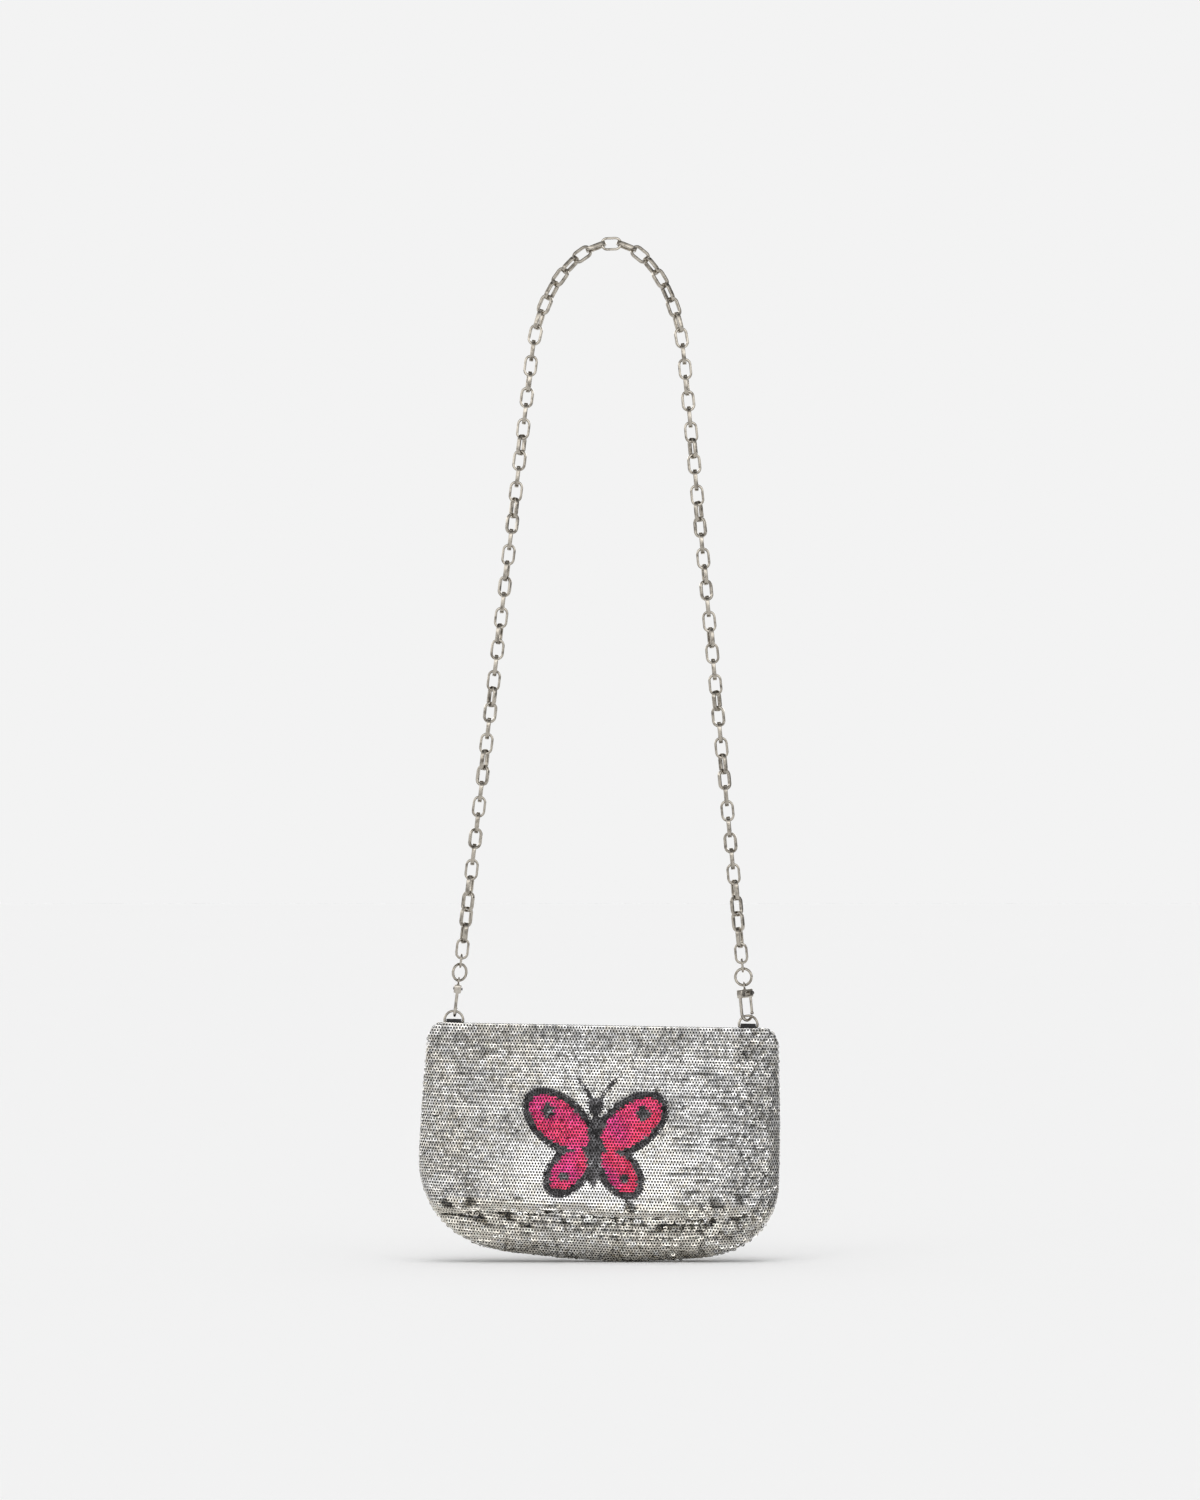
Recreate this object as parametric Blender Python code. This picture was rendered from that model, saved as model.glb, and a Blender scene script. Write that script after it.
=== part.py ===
"""Sequin shoulder bag hanging from its link chain.

A soft pouch with a zip hangs by two D rings from two swivel hooks, and a chain
of flat-section links runs from one hook up over the peg that holds it and down
to the other. The frame has its origin on that peg, under the top link, +Z up.
The front of the bag faces -Y. Links that move as one are joined into a run,
and a run on the left leg and its twin on the right leg swing together.
"""

import math

import bmesh
import bpy
from mathutils import Matrix, Vector

MM = 0.001

# Running gap between pieces, a wider one where runs of links swing, and how
# far a cutter passes through a face
GAP = 0.3 * MM
SWING_GAP = 0.45 * MM
OVERRUN = 1.0 * MM
# How deep two links of one run bite into each other at their corners
BITE = 0.12 * MM

# Chain route: a half oval over the peg, then two straight legs that splay out
# to shares of the pouch's half width
CROWN_LEFT = 47.2 * MM
CROWN_RIGHT = 41.6 * MM
CROWN_HEIGHT = 76.0 * MM
LEFT_SPREAD_SHARE = 0.8615
RIGHT_SPREAD_SHARE = 0.7299
TOP_SHIFT = 1.2 * MM

# One link: a flat band bent into a long oval
LINK_PITCH = 11.0 * MM
LINK_INNER_WIDTH = 6.0 * MM
BAND_THICK = 1.7 * MM
BAND_WIDE = 2.8 * MM
ARC_STEPS = 5
TWIST = math.radians(20.0)

# How many links each leg has in the crown, in a run and in the last run
CROWN_LINKS = 9
RUN_LINKS = 4
RUNS = 9
LAST_LINKS = 6

# Jump ring and round ring between the last link and the clasp
JUMP_WIRE = 1.6 * MM
JUMP_INNER_WIDTH = 4.6 * MM
JUMP_DROP = 6.4 * MM
RING_WIRE = 1.9 * MM
RING_OUTER = 13.4 * MM
WIRE_SIDES = 8
RING_STEPS = 20

# Swivel eye: a small ring on a riveted stem
EYE_WIRE = 1.3 * MM
EYE_INNER = 2.6 * MM
EYE_STEPS = 12
STEM_WIRE = 2.2 * MM
RIVET_HEAD = 3.4 * MM
RIVET_THICK = 1.0 * MM

# Clasp block, with a window for the rivet and a slot for the gate
BLOCK_WIDE = 12.0 * MM
BLOCK_DEEP = 5.0 * MM
BLOCK_TALL = 5.8 * MM
BLOCK_TOP_WALL = 1.5 * MM
BLOCK_BEVEL = 0.5 * MM
WINDOW_LEFT = 2.6 * MM
WINDOW_RIGHT = 2.1 * MM
WINDOW_TALL = 3.0 * MM
SLOT_START = 2.8 * MM
SLOT_WIDE = 2.9 * MM
SLOT_TOP_WALL = 0.7 * MM

# Hook, gate and the pin that the gate turns on
HOOK_WIRE = 2.2 * MM
HOOK_OUTER_WIDTH = 12.6 * MM
HOOK_DROP = 16.8 * MM
HOOK_STEPS = 8
HOOK_END_ANGLE = math.radians(-30.0)
GATE_WIRE = 1.9 * MM
GATE_HUB = 3.0 * MM
GATE_HUB_WIDE = 2.2 * MM
GATE_PIN_X = 5.0 * MM
GATE_BALL = 2.6 * MM
GATE_BALL_RISE = 0.5 * MM
PIN_WIRE = 1.2 * MM
PIN_HEAD = 2.4 * MM
PIN_HEAD_THICK = 0.5 * MM
PIN_BORE = 1.9 * MM
LEFT_YAW = math.radians(90.0)
RIGHT_YAW = math.radians(46.0)

# D rings: a straight bar closed by a round arch
D_WIRE = 1.7 * MM
D_OUTER_WIDTH = 14.6 * MM
D_TALL = 9.45 * MM
D_CORNER = 0.9 * MM
D_SEAT = 1.2 * MM
D_STEPS = 10
D_CORNER_STEPS = 2

# Fabric tabs that hold the D rings
TAB_WIDE = 10.5 * MM
TAB_THICK = 1.15 * MM
TAB_STEM = 2.6 * MM
TAB_LENGTH = 12.0 * MM

# Pouch: a bag with a sagging, round-cornered bottom, thickest low down
BAG_HALF_WIDTH = 125.0 * MM
MOUTH_WIDTH_SHARE = 0.968
WIDEST_SHARE = 0.6
BAG_TALL = 156.0 * MM
BAG_TOP_DROP = 2.6 * MM
BAG_SHIFT = 1.6 * MM
BAG_LEAN = math.radians(0.8)
LEFT_CORNER = 64.0 * MM
RIGHT_CORNER = 52.0 * MM
BAG_BELLY = 4.5 * MM
BELLY_PLACE_SHARE = 0.2
TOP_CORNER = 6.0 * MM
TOP_CORNER_ROW_SHARE = 0.3
BAG_HALF_DEEP = 20.0 * MM
MOUTH_HALF_DEEP = 7.0 * MM
SHOULDER_TALL = 62.0 * MM
PANEL_THICK = 1.8 * MM
LINING_THICK = 0.8 * MM
LINING_GAP = 0.9 * MM
SIDE_ROUNDNESS = 4
CORNER_FULLNESS = 0.7
PANEL_COLUMNS = 15
LINING_COLUMNS = 9
TAPE_COLUMNS = 11
STRAIGHT_ROWS = 6
CORNER_ROWS = 5

# Zip: tapes, coils, end stops, slider and pull
ZIP_TAB_GAP = 3.15 * MM
ZIP_DEPTH = 4.5 * MM
TAPE_THICK = 0.8 * MM
COIL_WIDE = 1.2 * MM
COIL_TALL = 1.2 * MM
STOP_LONG = 3.0 * MM
STOP_WIDE = 3.4 * MM
STOP_TALL = 1.4 * MM
SLIDER_LONG = 8.0 * MM
SLIDER_WIDE = 5.4 * MM
SLIDER_PLATE = 1.0 * MM
FLANGE_THICK = 0.95 * MM
FLANGE_TALL = 1.3 * MM
BAIL_LONG = 5.0 * MM
BAIL_WIDE = 1.8 * MM
BAIL_HOLE_LONG = 2.6 * MM
BAIL_HOLE_TALL = 1.7 * MM
BAIL_ROOF = 0.5 * MM
PULL_LONG = 20.0 * MM
PULL_WIDE = 4.4 * MM
PULL_THICK = 0.8 * MM
PULL_BAR = 0.9 * MM
PULL_WINDOW = 3.4 * MM
PULL_WINDOW_WIDE = 2.6 * MM
ZIP_BEVEL = 0.3 * MM

# Edges sharper than this are shaded sharp
SMOOTH_ANGLE = math.radians(40.0)

# Colour, metallic and roughness of each material
FINISHES = {
    "nickel": ((0.62, 0.60, 0.57), 1.0, 0.22),
    "dark_rivet": ((0.10, 0.10, 0.10), 0.6, 0.35),
    "sequin_cloth": ((0.52, 0.51, 0.51), 0.7, 0.30),
    "tab_ribbon": ((0.02, 0.02, 0.02), 0.0, 0.80),
    "lining_satin": ((0.03, 0.03, 0.035), 0.0, 0.45),
    "zip_tape": ((0.025, 0.025, 0.028), 0.0, 0.85),
    "zip_coil": ((0.05, 0.05, 0.055), 0.0, 0.50),
}


def clear_scene():
    for item in list(bpy.data.objects):
        bpy.data.objects.remove(item, do_unlink=True)


def finish(name):
    """Return the Principled material of that name, made on first use."""
    material = bpy.data.materials.get(name)
    if material:
        return material
    colour, metallic, roughness = FINISHES[name]
    material = bpy.data.materials.new(name)
    material.use_nodes = True
    shader = material.node_tree.nodes["Principled BSDF"]
    shader.inputs["Base Color"].default_value = (*colour, 1.0)
    shader.inputs["Metallic"].default_value = metallic
    shader.inputs["Roughness"].default_value = roughness
    return material


def mesh_from(bm):
    """Turn a bmesh into a mesh whose faces point out."""
    bmesh.ops.recalc_face_normals(bm, faces=bm.faces)
    mesh = bpy.data.meshes.new("shape")
    bm.to_mesh(mesh)
    bm.free()
    return mesh


def place(name, mesh, matrix, material, smooth=True):
    """Make the object of one sub-part from a mesh in the matrix's own axes."""
    piece = bpy.data.objects.new(name, mesh)
    bpy.context.scene.collection.objects.link(piece)
    piece.matrix_world = matrix
    mesh.name = name
    mesh.materials.clear()
    mesh.materials.append(finish(material))
    if smooth:
        mesh.shade_smooth()
        mesh.set_sharp_from_angle(angle=SMOOTH_ANGLE)
    return piece


def combined(base, tool, operation):
    """Cut or join two meshes that share their axes, and return the result."""
    base_piece = bpy.data.objects.new("base", base)
    tool_piece = bpy.data.objects.new("tool", tool)
    for item in (base_piece, tool_piece):
        bpy.context.scene.collection.objects.link(item)
    modifier = base_piece.modifiers.new("combine", "BOOLEAN")
    modifier.operation = operation
    modifier.solver = "EXACT"
    modifier.object = tool_piece
    graph = bpy.context.evaluated_depsgraph_get()
    result = bpy.data.meshes.new_from_object(base_piece.evaluated_get(graph))
    bpy.data.objects.remove(base_piece, do_unlink=True)
    bpy.data.objects.remove(tool_piece, do_unlink=True)
    return result


def joined(meshes):
    """Join a list of overlapping meshes into one body."""
    result = meshes[0]
    for mesh in meshes[1:]:
        result = combined(result, mesh, "UNION")
    return result


def box_mesh(low, high, bevel=0.0):
    bm = bmesh.new()
    bmesh.ops.create_cube(bm, size=1.0)
    low, high = Vector(low), Vector(high)
    for vert in bm.verts:
        share = vert.co + Vector((0.5, 0.5, 0.5))
        vert.co = Vector(low[i] + (high[i] - low[i]) * share[i] for i in range(3))
    if bevel:
        bmesh.ops.bevel(bm, geom=bm.edges[:], offset=bevel, segments=1, affect="EDGES")
    return mesh_from(bm)


def turned(profile, axis, centre, steps):
    """Turn a profile of (radius, height) pairs about an axis through a centre."""
    bm = bmesh.new()
    turn = Vector((0, 0, 1)).rotation_difference(Vector(axis)).to_matrix()
    rings = []
    for radius, height in profile:
        ring = []
        for i in range(steps):
            angle = 2 * math.pi * i / steps
            spot = Vector((radius * math.cos(angle), radius * math.sin(angle), height))
            ring.append(bm.verts.new(turn @ spot + Vector(centre)))
        rings.append(ring)
    for low, high in zip(rings, rings[1:]):
        for i in range(steps):
            j = (i + 1) % steps
            bm.faces.new((low[i], low[j], high[j], high[i]))
    bm.faces.new(rings[0])
    bm.faces.new(rings[-1])
    return mesh_from(bm)


def round_section(wire):
    """A wire's section: the corners of a regular polygon of that diameter."""
    return [
        (wire / 2 * math.cos(2 * math.pi * (i + 0.5) / WIRE_SIDES),
         wire / 2 * math.sin(2 * math.pi * (i + 0.5) / WIRE_SIDES))
        for i in range(WIRE_SIDES)
    ]


def band_section(thick, wide):
    return [(-thick / 2, -wide / 2), (thick / 2, -wide / 2), (thick / 2, wide / 2), (-thick / 2, wide / 2)]


def swept(path, section, closed, normal=Vector((0, 1, 0))):
    """Sweep a section along a path that lies in the plane across the normal.

    The section's first number is measured outwards in that plane and its
    second along the normal. At a bend the section is mitred.
    """
    bm = bmesh.new()
    count = len(path)
    rings = []
    for i, point in enumerate(path):
        before = path[i - 1] if closed or i > 0 else point
        after = path[(i + 1) % count] if closed or i < count - 1 else point
        back = (point - before).normalized()
        ahead = (after - point).normalized()
        along = (back + ahead).normalized()
        stretch = 1 / max(along.dot(ahead if ahead.length else back), 0.5)
        side = along.cross(normal) * stretch
        rings.append([bm.verts.new(point + side * u + normal * v) for u, v in section])
    pairs = list(zip(rings, rings[1:]))
    if closed:
        pairs.append((rings[-1], rings[0]))
    size = len(section)
    for ring, following in pairs:
        for i in range(size):
            j = (i + 1) % size
            bm.faces.new((ring[i], ring[j], following[j], following[i]))
    if not closed:
        bm.faces.new(rings[0])
        bm.faces.new(rings[-1])
    return mesh_from(bm)


def arc(centre, radius, start, end, steps):
    """Points of an arc in the XZ plane, from one angle to another."""
    return [
        Vector((centre.x + radius * math.cos(start + (end - start) * i / steps),
                centre.y,
                centre.z + radius * math.sin(start + (end - start) * i / steps)))
        for i in range(steps + 1)
    ]


def flat_radius(radius, steps):
    """Distance from an arc's centre to the middle of one of its facets."""
    return radius * math.cos(math.pi / (2 * steps))


def stadium(top, bottom, inner_width, thick, steps):
    """Closed centre line of an oval ring whose hole runs from top to bottom."""
    inner = inner_width / 2
    reach = flat_radius(inner, steps)
    middle = inner + thick / 2
    upper = Vector((0, 0, top - reach))
    lower = Vector((0, 0, bottom + reach))
    return arc(upper, middle, 0, math.pi, steps) + arc(lower, middle, math.pi, 2 * math.pi, steps)


# Chain route

def route_point(side, turn):
    """Point of the route: a half oval up to a quarter turn, straight after it."""
    wide = CROWN_RIGHT if side > 0 else CROWN_LEFT
    spread = RIGHT_SPREAD_SHARE if side > 0 else LEFT_SPREAD_SHARE
    splay = (spread * BAG_HALF_WIDTH - wide) / (LEG_LINKS * LINK_PITCH)
    if turn <= math.pi / 2:
        drop = CROWN_HEIGHT * (1 - math.cos(turn))
        reach = wide * math.sin(turn)
    else:
        drop = CROWN_HEIGHT * (1 + turn - math.pi / 2)
        reach = wide
    return Vector((side * (reach + splay * drop), 0, ROUTE_TOP - drop))


def step_along(side, turn, length):
    """Find the turn at which the route is one chord further on."""
    start = route_point(side, turn)
    near, far = turn, turn + math.pi / 2
    for _ in range(50):
        middle = (near + far) / 2
        if (route_point(side, middle) - start).length < length:
            near = middle
        else:
            far = middle
    return far


def contact_points(side):
    """Where neighbouring links touch, from the top link down one leg."""
    near, far = 0.0, math.pi / 2
    for _ in range(50):
        middle = (near + far) / 2
        if abs(route_point(side, middle).x + TOP_SHIFT) < LINK_PITCH / 2:
            near = middle
        else:
            far = middle
    turn = far
    points = [route_point(side, turn)]
    for _ in range(LEG_LINKS):
        turn = step_along(side, turn, LINK_PITCH)
        points.append(route_point(side, turn))
    return points


LEG_LINKS = CROWN_LINKS + (RUNS - 1) * RUN_LINKS + LAST_LINKS
ROUTE_TOP = LINK_INNER_WIDTH / 2 + BAND_THICK + GAP
LINK_REACH = flat_radius(LINK_INNER_WIDTH / 2, ARC_STEPS)


def band_sag():
    """How much the inside of a link's end rises at the edge of a band in it."""
    half = BAND_WIDE / 2
    first = LINK_INNER_WIDTH / 2 * math.sin(math.pi / (2 * ARC_STEPS))
    second_angle = 3 * math.pi / (2 * ARC_STEPS)
    second = LINK_INNER_WIDTH / 2 * math.sin(second_angle)
    second_height = LINK_INNER_WIDTH / 2 * math.cos(second_angle)
    share = max(half - first, 0.0) / (second - first)
    return (LINK_REACH - second_height) * share


# Space at the middle between two touching bands, fused or free to swing
FUSED_SPACE = 2 * band_sag() - BITE
FREE_SPACE = LINK_REACH + band_sag() - math.sqrt((LINK_REACH - SWING_GAP) ** 2 - (BAND_WIDE / 2) ** 2)
JUMP_REACH = flat_radius(JUMP_INNER_WIDTH / 2, ARC_STEPS)
JUMP_SPACE = JUMP_REACH - math.sqrt((JUMP_REACH - GAP) ** 2 - (BAND_WIDE / 2) ** 2)


def starts_run(index):
    """True where a link is the first of a run that swings."""
    below = index - CROWN_LINKS - 1
    return below >= 0 and below % RUN_LINKS == 0 and below // RUN_LINKS < RUNS


def run_members(run):
    """Link numbers of one run, counted from the crown down."""
    first = CROWN_LINKS + 1 + run * RUN_LINKS
    count = LAST_LINKS if run == RUNS - 1 else RUN_LINKS
    return range(first, first + count)


def link_twist(index):
    """Turn of a link about the chain, flat to the front when even."""
    angle = math.pi / 2 * (index % 2)
    if index <= CROWN_LINKS:
        return angle
    run = min((index - CROWN_LINKS - 1) // RUN_LINKS, RUNS - 1)
    members = run_members(run)
    place_in_run = index - members[0]
    if run == RUNS - 1:
        return angle + math.pi / 2 * place_in_run / (len(members) - 1)
    if 0 < place_in_run < len(members) - 1:
        return angle + TWIST * (1 if run % 2 else -1)
    return angle


def link_mesh(upper, lower, twist, space_above, space_below):
    """One link between two contact points, in world axes."""
    along = (upper - lower).normalized()
    middle = (upper + lower) / 2
    half = (upper - lower).length / 2
    path = stadium(half + space_above / 2, -half - space_below / 2, LINK_INNER_WIDTH, BAND_THICK, ARC_STEPS)
    mesh = swept(path, band_section(BAND_THICK, BAND_WIDE), True)
    across = Vector((0, 1, 0)).cross(along)
    turn = Matrix((across, Vector((0, 1, 0)), along)).transposed().to_4x4()
    mesh.transform(Matrix.Translation(middle) @ turn @ Matrix.Rotation(twist, 4, "Z"))
    return mesh


def fused_links(meshes):
    """Join touching links: every other one is disjoint, so two groups meet."""
    groups = []
    for start in (0, 1):
        bm = bmesh.new()
        for mesh in meshes[start::2]:
            bm.from_mesh(mesh)
        groups.append(mesh_from(bm))
    return combined(groups[0], groups[1], "UNION")


def leg_links(side, numbers):
    """Meshes of numbered links on one leg."""
    points = CONTACTS[side]
    meshes = []
    for index in numbers:
        above = FREE_SPACE if starts_run(index) else FUSED_SPACE
        below = FREE_SPACE if starts_run(index + 1) else FUSED_SPACE
        if index == LEG_LINKS:
            below = JUMP_SPACE
        meshes.append(link_mesh(points[index - 1], points[index], side * link_twist(index), above, below))
    return meshes


def run_pivot(side, run):
    """Centre that a run's first link turns about, inside the link above it."""
    first = run_members(run)[0]
    contact = CONTACTS[side][first - 1]
    above = CONTACTS[side][first - 2]
    along = (above - contact).normalized()
    return contact + along * (LINK_REACH - FREE_SPACE / 2)


CONTACTS = {side: contact_points(side) for side in (-1, 1)}
SIDE_NAMES = {-1: "left", 1: "right"}


def build_crown():
    left = leg_links(-1, range(1, CROWN_LINKS + 1))
    right = leg_links(1, range(1, CROWN_LINKS + 1))
    top = link_mesh(CONTACTS[-1][0], CONTACTS[1][0], 0.0, FUSED_SPACE, FUSED_SPACE)
    place("chain_crown", fused_links(left[::-1] + [top] + right), Matrix(), "nickel")


def build_run(side, run):
    mesh = fused_links(leg_links(side, run_members(run)))
    pivot = run_pivot(side, run)
    mesh.transform(Matrix.Translation(-pivot))
    place(f"chain_{SIDE_NAMES[side]}_{run + 1}", mesh, Matrix.Translation(pivot), "nickel")


# Clasps: every drop below is measured down the leg from the last contact

RING_TOP = JUMP_DROP - GAP / 2 - RING_WIRE
RING_MIDDLE = RING_TOP + RING_OUTER / 2
RING_BOTTOM = RING_TOP + RING_OUTER
EYE_MIDDLE = RING_BOTTOM - RING_WIRE - GAP + EYE_INNER / 2
BLOCK_TOP = EYE_MIDDLE + EYE_INNER / 2 + EYE_WIRE + GAP
HOOK_BOTTOM = BLOCK_TOP + BLOCK_TALL + HOOK_DROP - HOOK_WIRE / 2
HOOK_RADIUS = (HOOK_OUTER_WIDTH - HOOK_WIRE) / 2
HOOK_CENTRE = HOOK_BOTTOM - HOOK_RADIUS
D_TOP = HOOK_BOTTOM - (HOOK_WIRE + D_WIRE) / 2 - D_SEAT
D_BAR = D_TOP - D_WIRE / 2 + D_TALL - D_WIRE / 2


def leg_frame(side, drop):
    """Matrix whose origin lies that far below the last contact, +Z up the leg."""
    last, above = CONTACTS[side][-1], CONTACTS[side][-2]
    along = (above - last).normalized()
    across = Vector((0, 1, 0)).cross(along)
    turn = Matrix((across, Vector((0, 1, 0)), along)).transposed().to_4x4()
    return Matrix.Translation(last - along * drop) @ turn


def hang_point(side, drop):
    return leg_frame(side, drop).translation


def rings_pivot(side):
    return hang_point(side, JUMP_REACH - JUMP_SPACE / 2)


def build_rings(side):
    name = SIDE_NAMES[side]
    edge_on = Matrix.Rotation(math.pi / 2, 4, "Z")
    jump = swept(
        stadium(JUMP_SPACE / 2, -JUMP_DROP - GAP / 2, JUMP_INNER_WIDTH, JUMP_WIRE, ARC_STEPS),
        round_section(JUMP_WIRE), True)
    place(f"jump_ring_{name}", jump, leg_frame(side, 0) @ edge_on, "nickel")
    radius = (RING_OUTER - RING_WIRE) / 2
    circle = arc(Vector((0, 0, 0)), radius, 0, 2 * math.pi, RING_STEPS)[:-1]
    place(f"swivel_ring_{name}", swept(circle, round_section(RING_WIRE), True),
          leg_frame(side, RING_MIDDLE), "nickel")


def build_eye(side):
    """Small ring with a riveted stem, its origin on the swivel axis."""
    radius = (EYE_INNER + EYE_WIRE) / 2
    centre = Vector((0, 0, BLOCK_TOP - EYE_MIDDLE))
    circle = arc(centre, radius, 0, 2 * math.pi, EYE_STEPS)[:-1]
    ring = swept(circle, round_section(EYE_WIRE), True)
    ring.transform(Matrix.Rotation(math.pi / 2, 4, "Z"))
    stem_top = centre.z - radius
    head_top = -BLOCK_TOP_WALL - GAP
    profile = [
        (RIVET_HEAD / 2, head_top - RIVET_THICK),
        (RIVET_HEAD / 2, head_top),
        (STEM_WIRE / 2, head_top),
        (STEM_WIRE / 2, GAP),
        (EYE_WIRE / 2, stem_top),
    ]
    stem = turned(profile, (0, 0, 1), (0, 0, 0), EYE_STEPS)
    eye = combined(ring, stem, "UNION")
    place(f"swivel_eye_{SIDE_NAMES[side]}", eye, leg_frame(side, BLOCK_TOP), "nickel")


def clasp_frame(side):
    yaw = RIGHT_YAW if side > 0 else LEFT_YAW
    return leg_frame(side, BLOCK_TOP) @ Matrix.Rotation(yaw, 4, "Z")


def hook_mesh():
    """Cast block and hook in one, with the rivet's window and the gate's slot."""
    block = box_mesh(
        (-BLOCK_WIDE / 2, -BLOCK_DEEP / 2, -BLOCK_TALL), (BLOCK_WIDE / 2, BLOCK_DEEP / 2, 0), BLOCK_BEVEL)
    centre = Vector((0, 0, BLOCK_TOP - HOOK_CENTRE))
    path = [Vector((-HOOK_RADIUS, 0, -BLOCK_TALL + HOOK_WIRE))]
    path += arc(centre, HOOK_RADIUS, math.pi, 2 * math.pi + HOOK_END_ANGLE, HOOK_STEPS)
    wire = swept(path, round_section(HOOK_WIRE), False)
    mesh = combined(block, wire, "UNION")
    window_low = -BLOCK_TOP_WALL - WINDOW_TALL
    window = box_mesh((-WINDOW_LEFT, -BLOCK_DEEP, window_low), (WINDOW_RIGHT, BLOCK_DEEP, -BLOCK_TOP_WALL))
    slot = box_mesh(
        (SLOT_START, -SLOT_WIDE / 2, -BLOCK_TALL - OVERRUN),
        (BLOCK_WIDE / 2 + OVERRUN, SLOT_WIDE / 2, -SLOT_TOP_WALL))
    stem_hole = turned(
        [(STEM_WIRE / 2 + GAP, -BLOCK_TOP_WALL - OVERRUN), (STEM_WIRE / 2 + GAP, OVERRUN)],
        (0, 0, 1), (0, 0, 0), EYE_STEPS)
    pin_hole = turned(
        [(PIN_BORE / 2, -BLOCK_DEEP), (PIN_BORE / 2, BLOCK_DEEP)], (0, 1, 0), GATE_PIN, EYE_STEPS)
    for cutter in (window, slot, stem_hole, pin_hole):
        mesh = combined(mesh, cutter, "DIFFERENCE")
    return mesh


GATE_PIN = Vector((GATE_PIN_X, 0, -BLOCK_TALL / 2))


def gate_mesh():
    """Wire gate with a bored hub at the top and a ball at its tip."""
    hub_half = GATE_HUB_WIDE / 2
    hub = turned([(GATE_HUB / 2, -hub_half), (GATE_HUB / 2, hub_half)], (0, 1, 0), GATE_PIN, EYE_STEPS)
    ball_height = BLOCK_TOP - HOOK_CENTRE - GATE_BALL_RISE
    wire = swept(
        [Vector((HOOK_RADIUS, 0, GATE_PIN.z - GATE_WIRE / 4)), Vector((HOOK_RADIUS, 0, ball_height))],
        round_section(GATE_WIRE), False)
    bm = bmesh.new()
    bmesh.ops.create_icosphere(
        bm, subdivisions=2, radius=GATE_BALL / 2, matrix=Matrix.Translation((HOOK_RADIUS, 0, ball_height)))
    bore = turned(
        [(PIN_BORE / 2, -GATE_HUB_WIDE), (PIN_BORE / 2, GATE_HUB_WIDE)], (0, 1, 0), GATE_PIN, EYE_STEPS)
    return combined(joined([hub, wire, mesh_from(bm)]), bore, "DIFFERENCE")


def pin_mesh():
    face = BLOCK_DEEP / 2 + GAP
    profile = [
        (PIN_HEAD / 2, -face - PIN_HEAD_THICK),
        (PIN_HEAD / 2, -face),
        (PIN_WIRE / 2, -face),
        (PIN_WIRE / 2, face),
        (PIN_HEAD / 2, face),
        (PIN_HEAD / 2, face + PIN_HEAD_THICK),
    ]
    return turned(profile, (0, 1, 0), GATE_PIN, WIRE_SIDES)


def build_clasp(side):
    name = SIDE_NAMES[side]
    frame = clasp_frame(side)
    place(f"swivel_hook_{name}", hook_mesh(), frame, "nickel")
    place(f"gate_pin_{name}", pin_mesh(), frame, "dark_rivet")
    gate = gate_mesh()
    gate.transform(Matrix.Translation(-GATE_PIN))
    place(f"gate_{name}", gate, frame @ Matrix.Translation(GATE_PIN), "nickel")


def d_ring_mesh():
    """D ring with its bar along X through the origin."""
    half = (D_OUTER_WIDTH - D_WIRE) / 2
    rise = D_BAR - D_TOP
    path = arc(Vector((half - D_CORNER, 0, D_CORNER)), D_CORNER, -math.pi / 2, 0, D_CORNER_STEPS)
    path += arc(Vector((0, 0, rise - half)), half, 0, math.pi, D_STEPS)
    path += arc(Vector((D_CORNER - half, 0, D_CORNER)), D_CORNER, math.pi, 3 * math.pi / 2, D_CORNER_STEPS)
    return swept(path, round_section(D_WIRE), True)


def d_pivot(side):
    """Centre of the hook's bend, which the D ring swings about."""
    return hang_point(side, HOOK_CENTRE)


def bar_axis():
    """Matrix with its origin midway between the two bars and +X along them."""
    left, right = hang_point(-1, D_BAR), hang_point(1, D_BAR)
    across = (right - left).normalized()
    up = across.cross(Vector((0, 1, 0)))
    turn = Matrix((across, Vector((0, 1, 0)), up)).transposed().to_4x4()
    return Matrix.Translation((left + right) / 2) @ turn


BAR_FRAME = bar_axis()
POUCH_FRAME = BAR_FRAME @ Matrix.Rotation(BAG_LEAN, 4, "Y")
BAR_HALF = (hang_point(1, D_BAR) - hang_point(-1, D_BAR)).length / 2


def bar_matrix(side):
    return BAR_FRAME @ Matrix.Translation((side * BAR_HALF, 0, 0))


def build_d_ring(side):
    place(f"d_ring_{SIDE_NAMES[side]}", d_ring_mesh(), bar_matrix(side), "nickel")


def build_tab(side):
    """Ribbon folded round the bar, its two ends sewn into the mouth."""
    bore = D_WIRE / 2 + GAP
    half = TAB_WIDE / 2
    loop = turned([(bore + TAB_THICK, -half), (bore + TAB_THICK, half)], (1, 0, 0), (0, 0, 0), EYE_STEPS)
    stem = box_mesh((-half, -TAB_STEM / 2, -TAB_LENGTH), (half, TAB_STEM / 2, 0))
    hole = turned([(bore, -TAB_WIDE), (bore, TAB_WIDE)], (1, 0, 0), (0, 0, 0), EYE_STEPS)
    mesh = combined(combined(loop, stem, "UNION"), hole, "DIFFERENCE")
    place(f"tab_{SIDE_NAMES[side]}", mesh, bar_matrix(side), "tab_ribbon")


# Pouch

BAG_TOP_HALF_WIDTH = BAG_HALF_WIDTH * MOUTH_WIDTH_SHARE


def half_depth(depth):
    """Half the pouch's thickness at a depth below its top edge."""
    share = min(max(depth / SHOULDER_TALL, 0.0), 1.0)
    ease = share * share * (3 - 2 * share)
    return MOUTH_HALF_DEEP + (BAG_HALF_DEEP - MOUTH_HALF_DEEP) * ease


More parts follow.
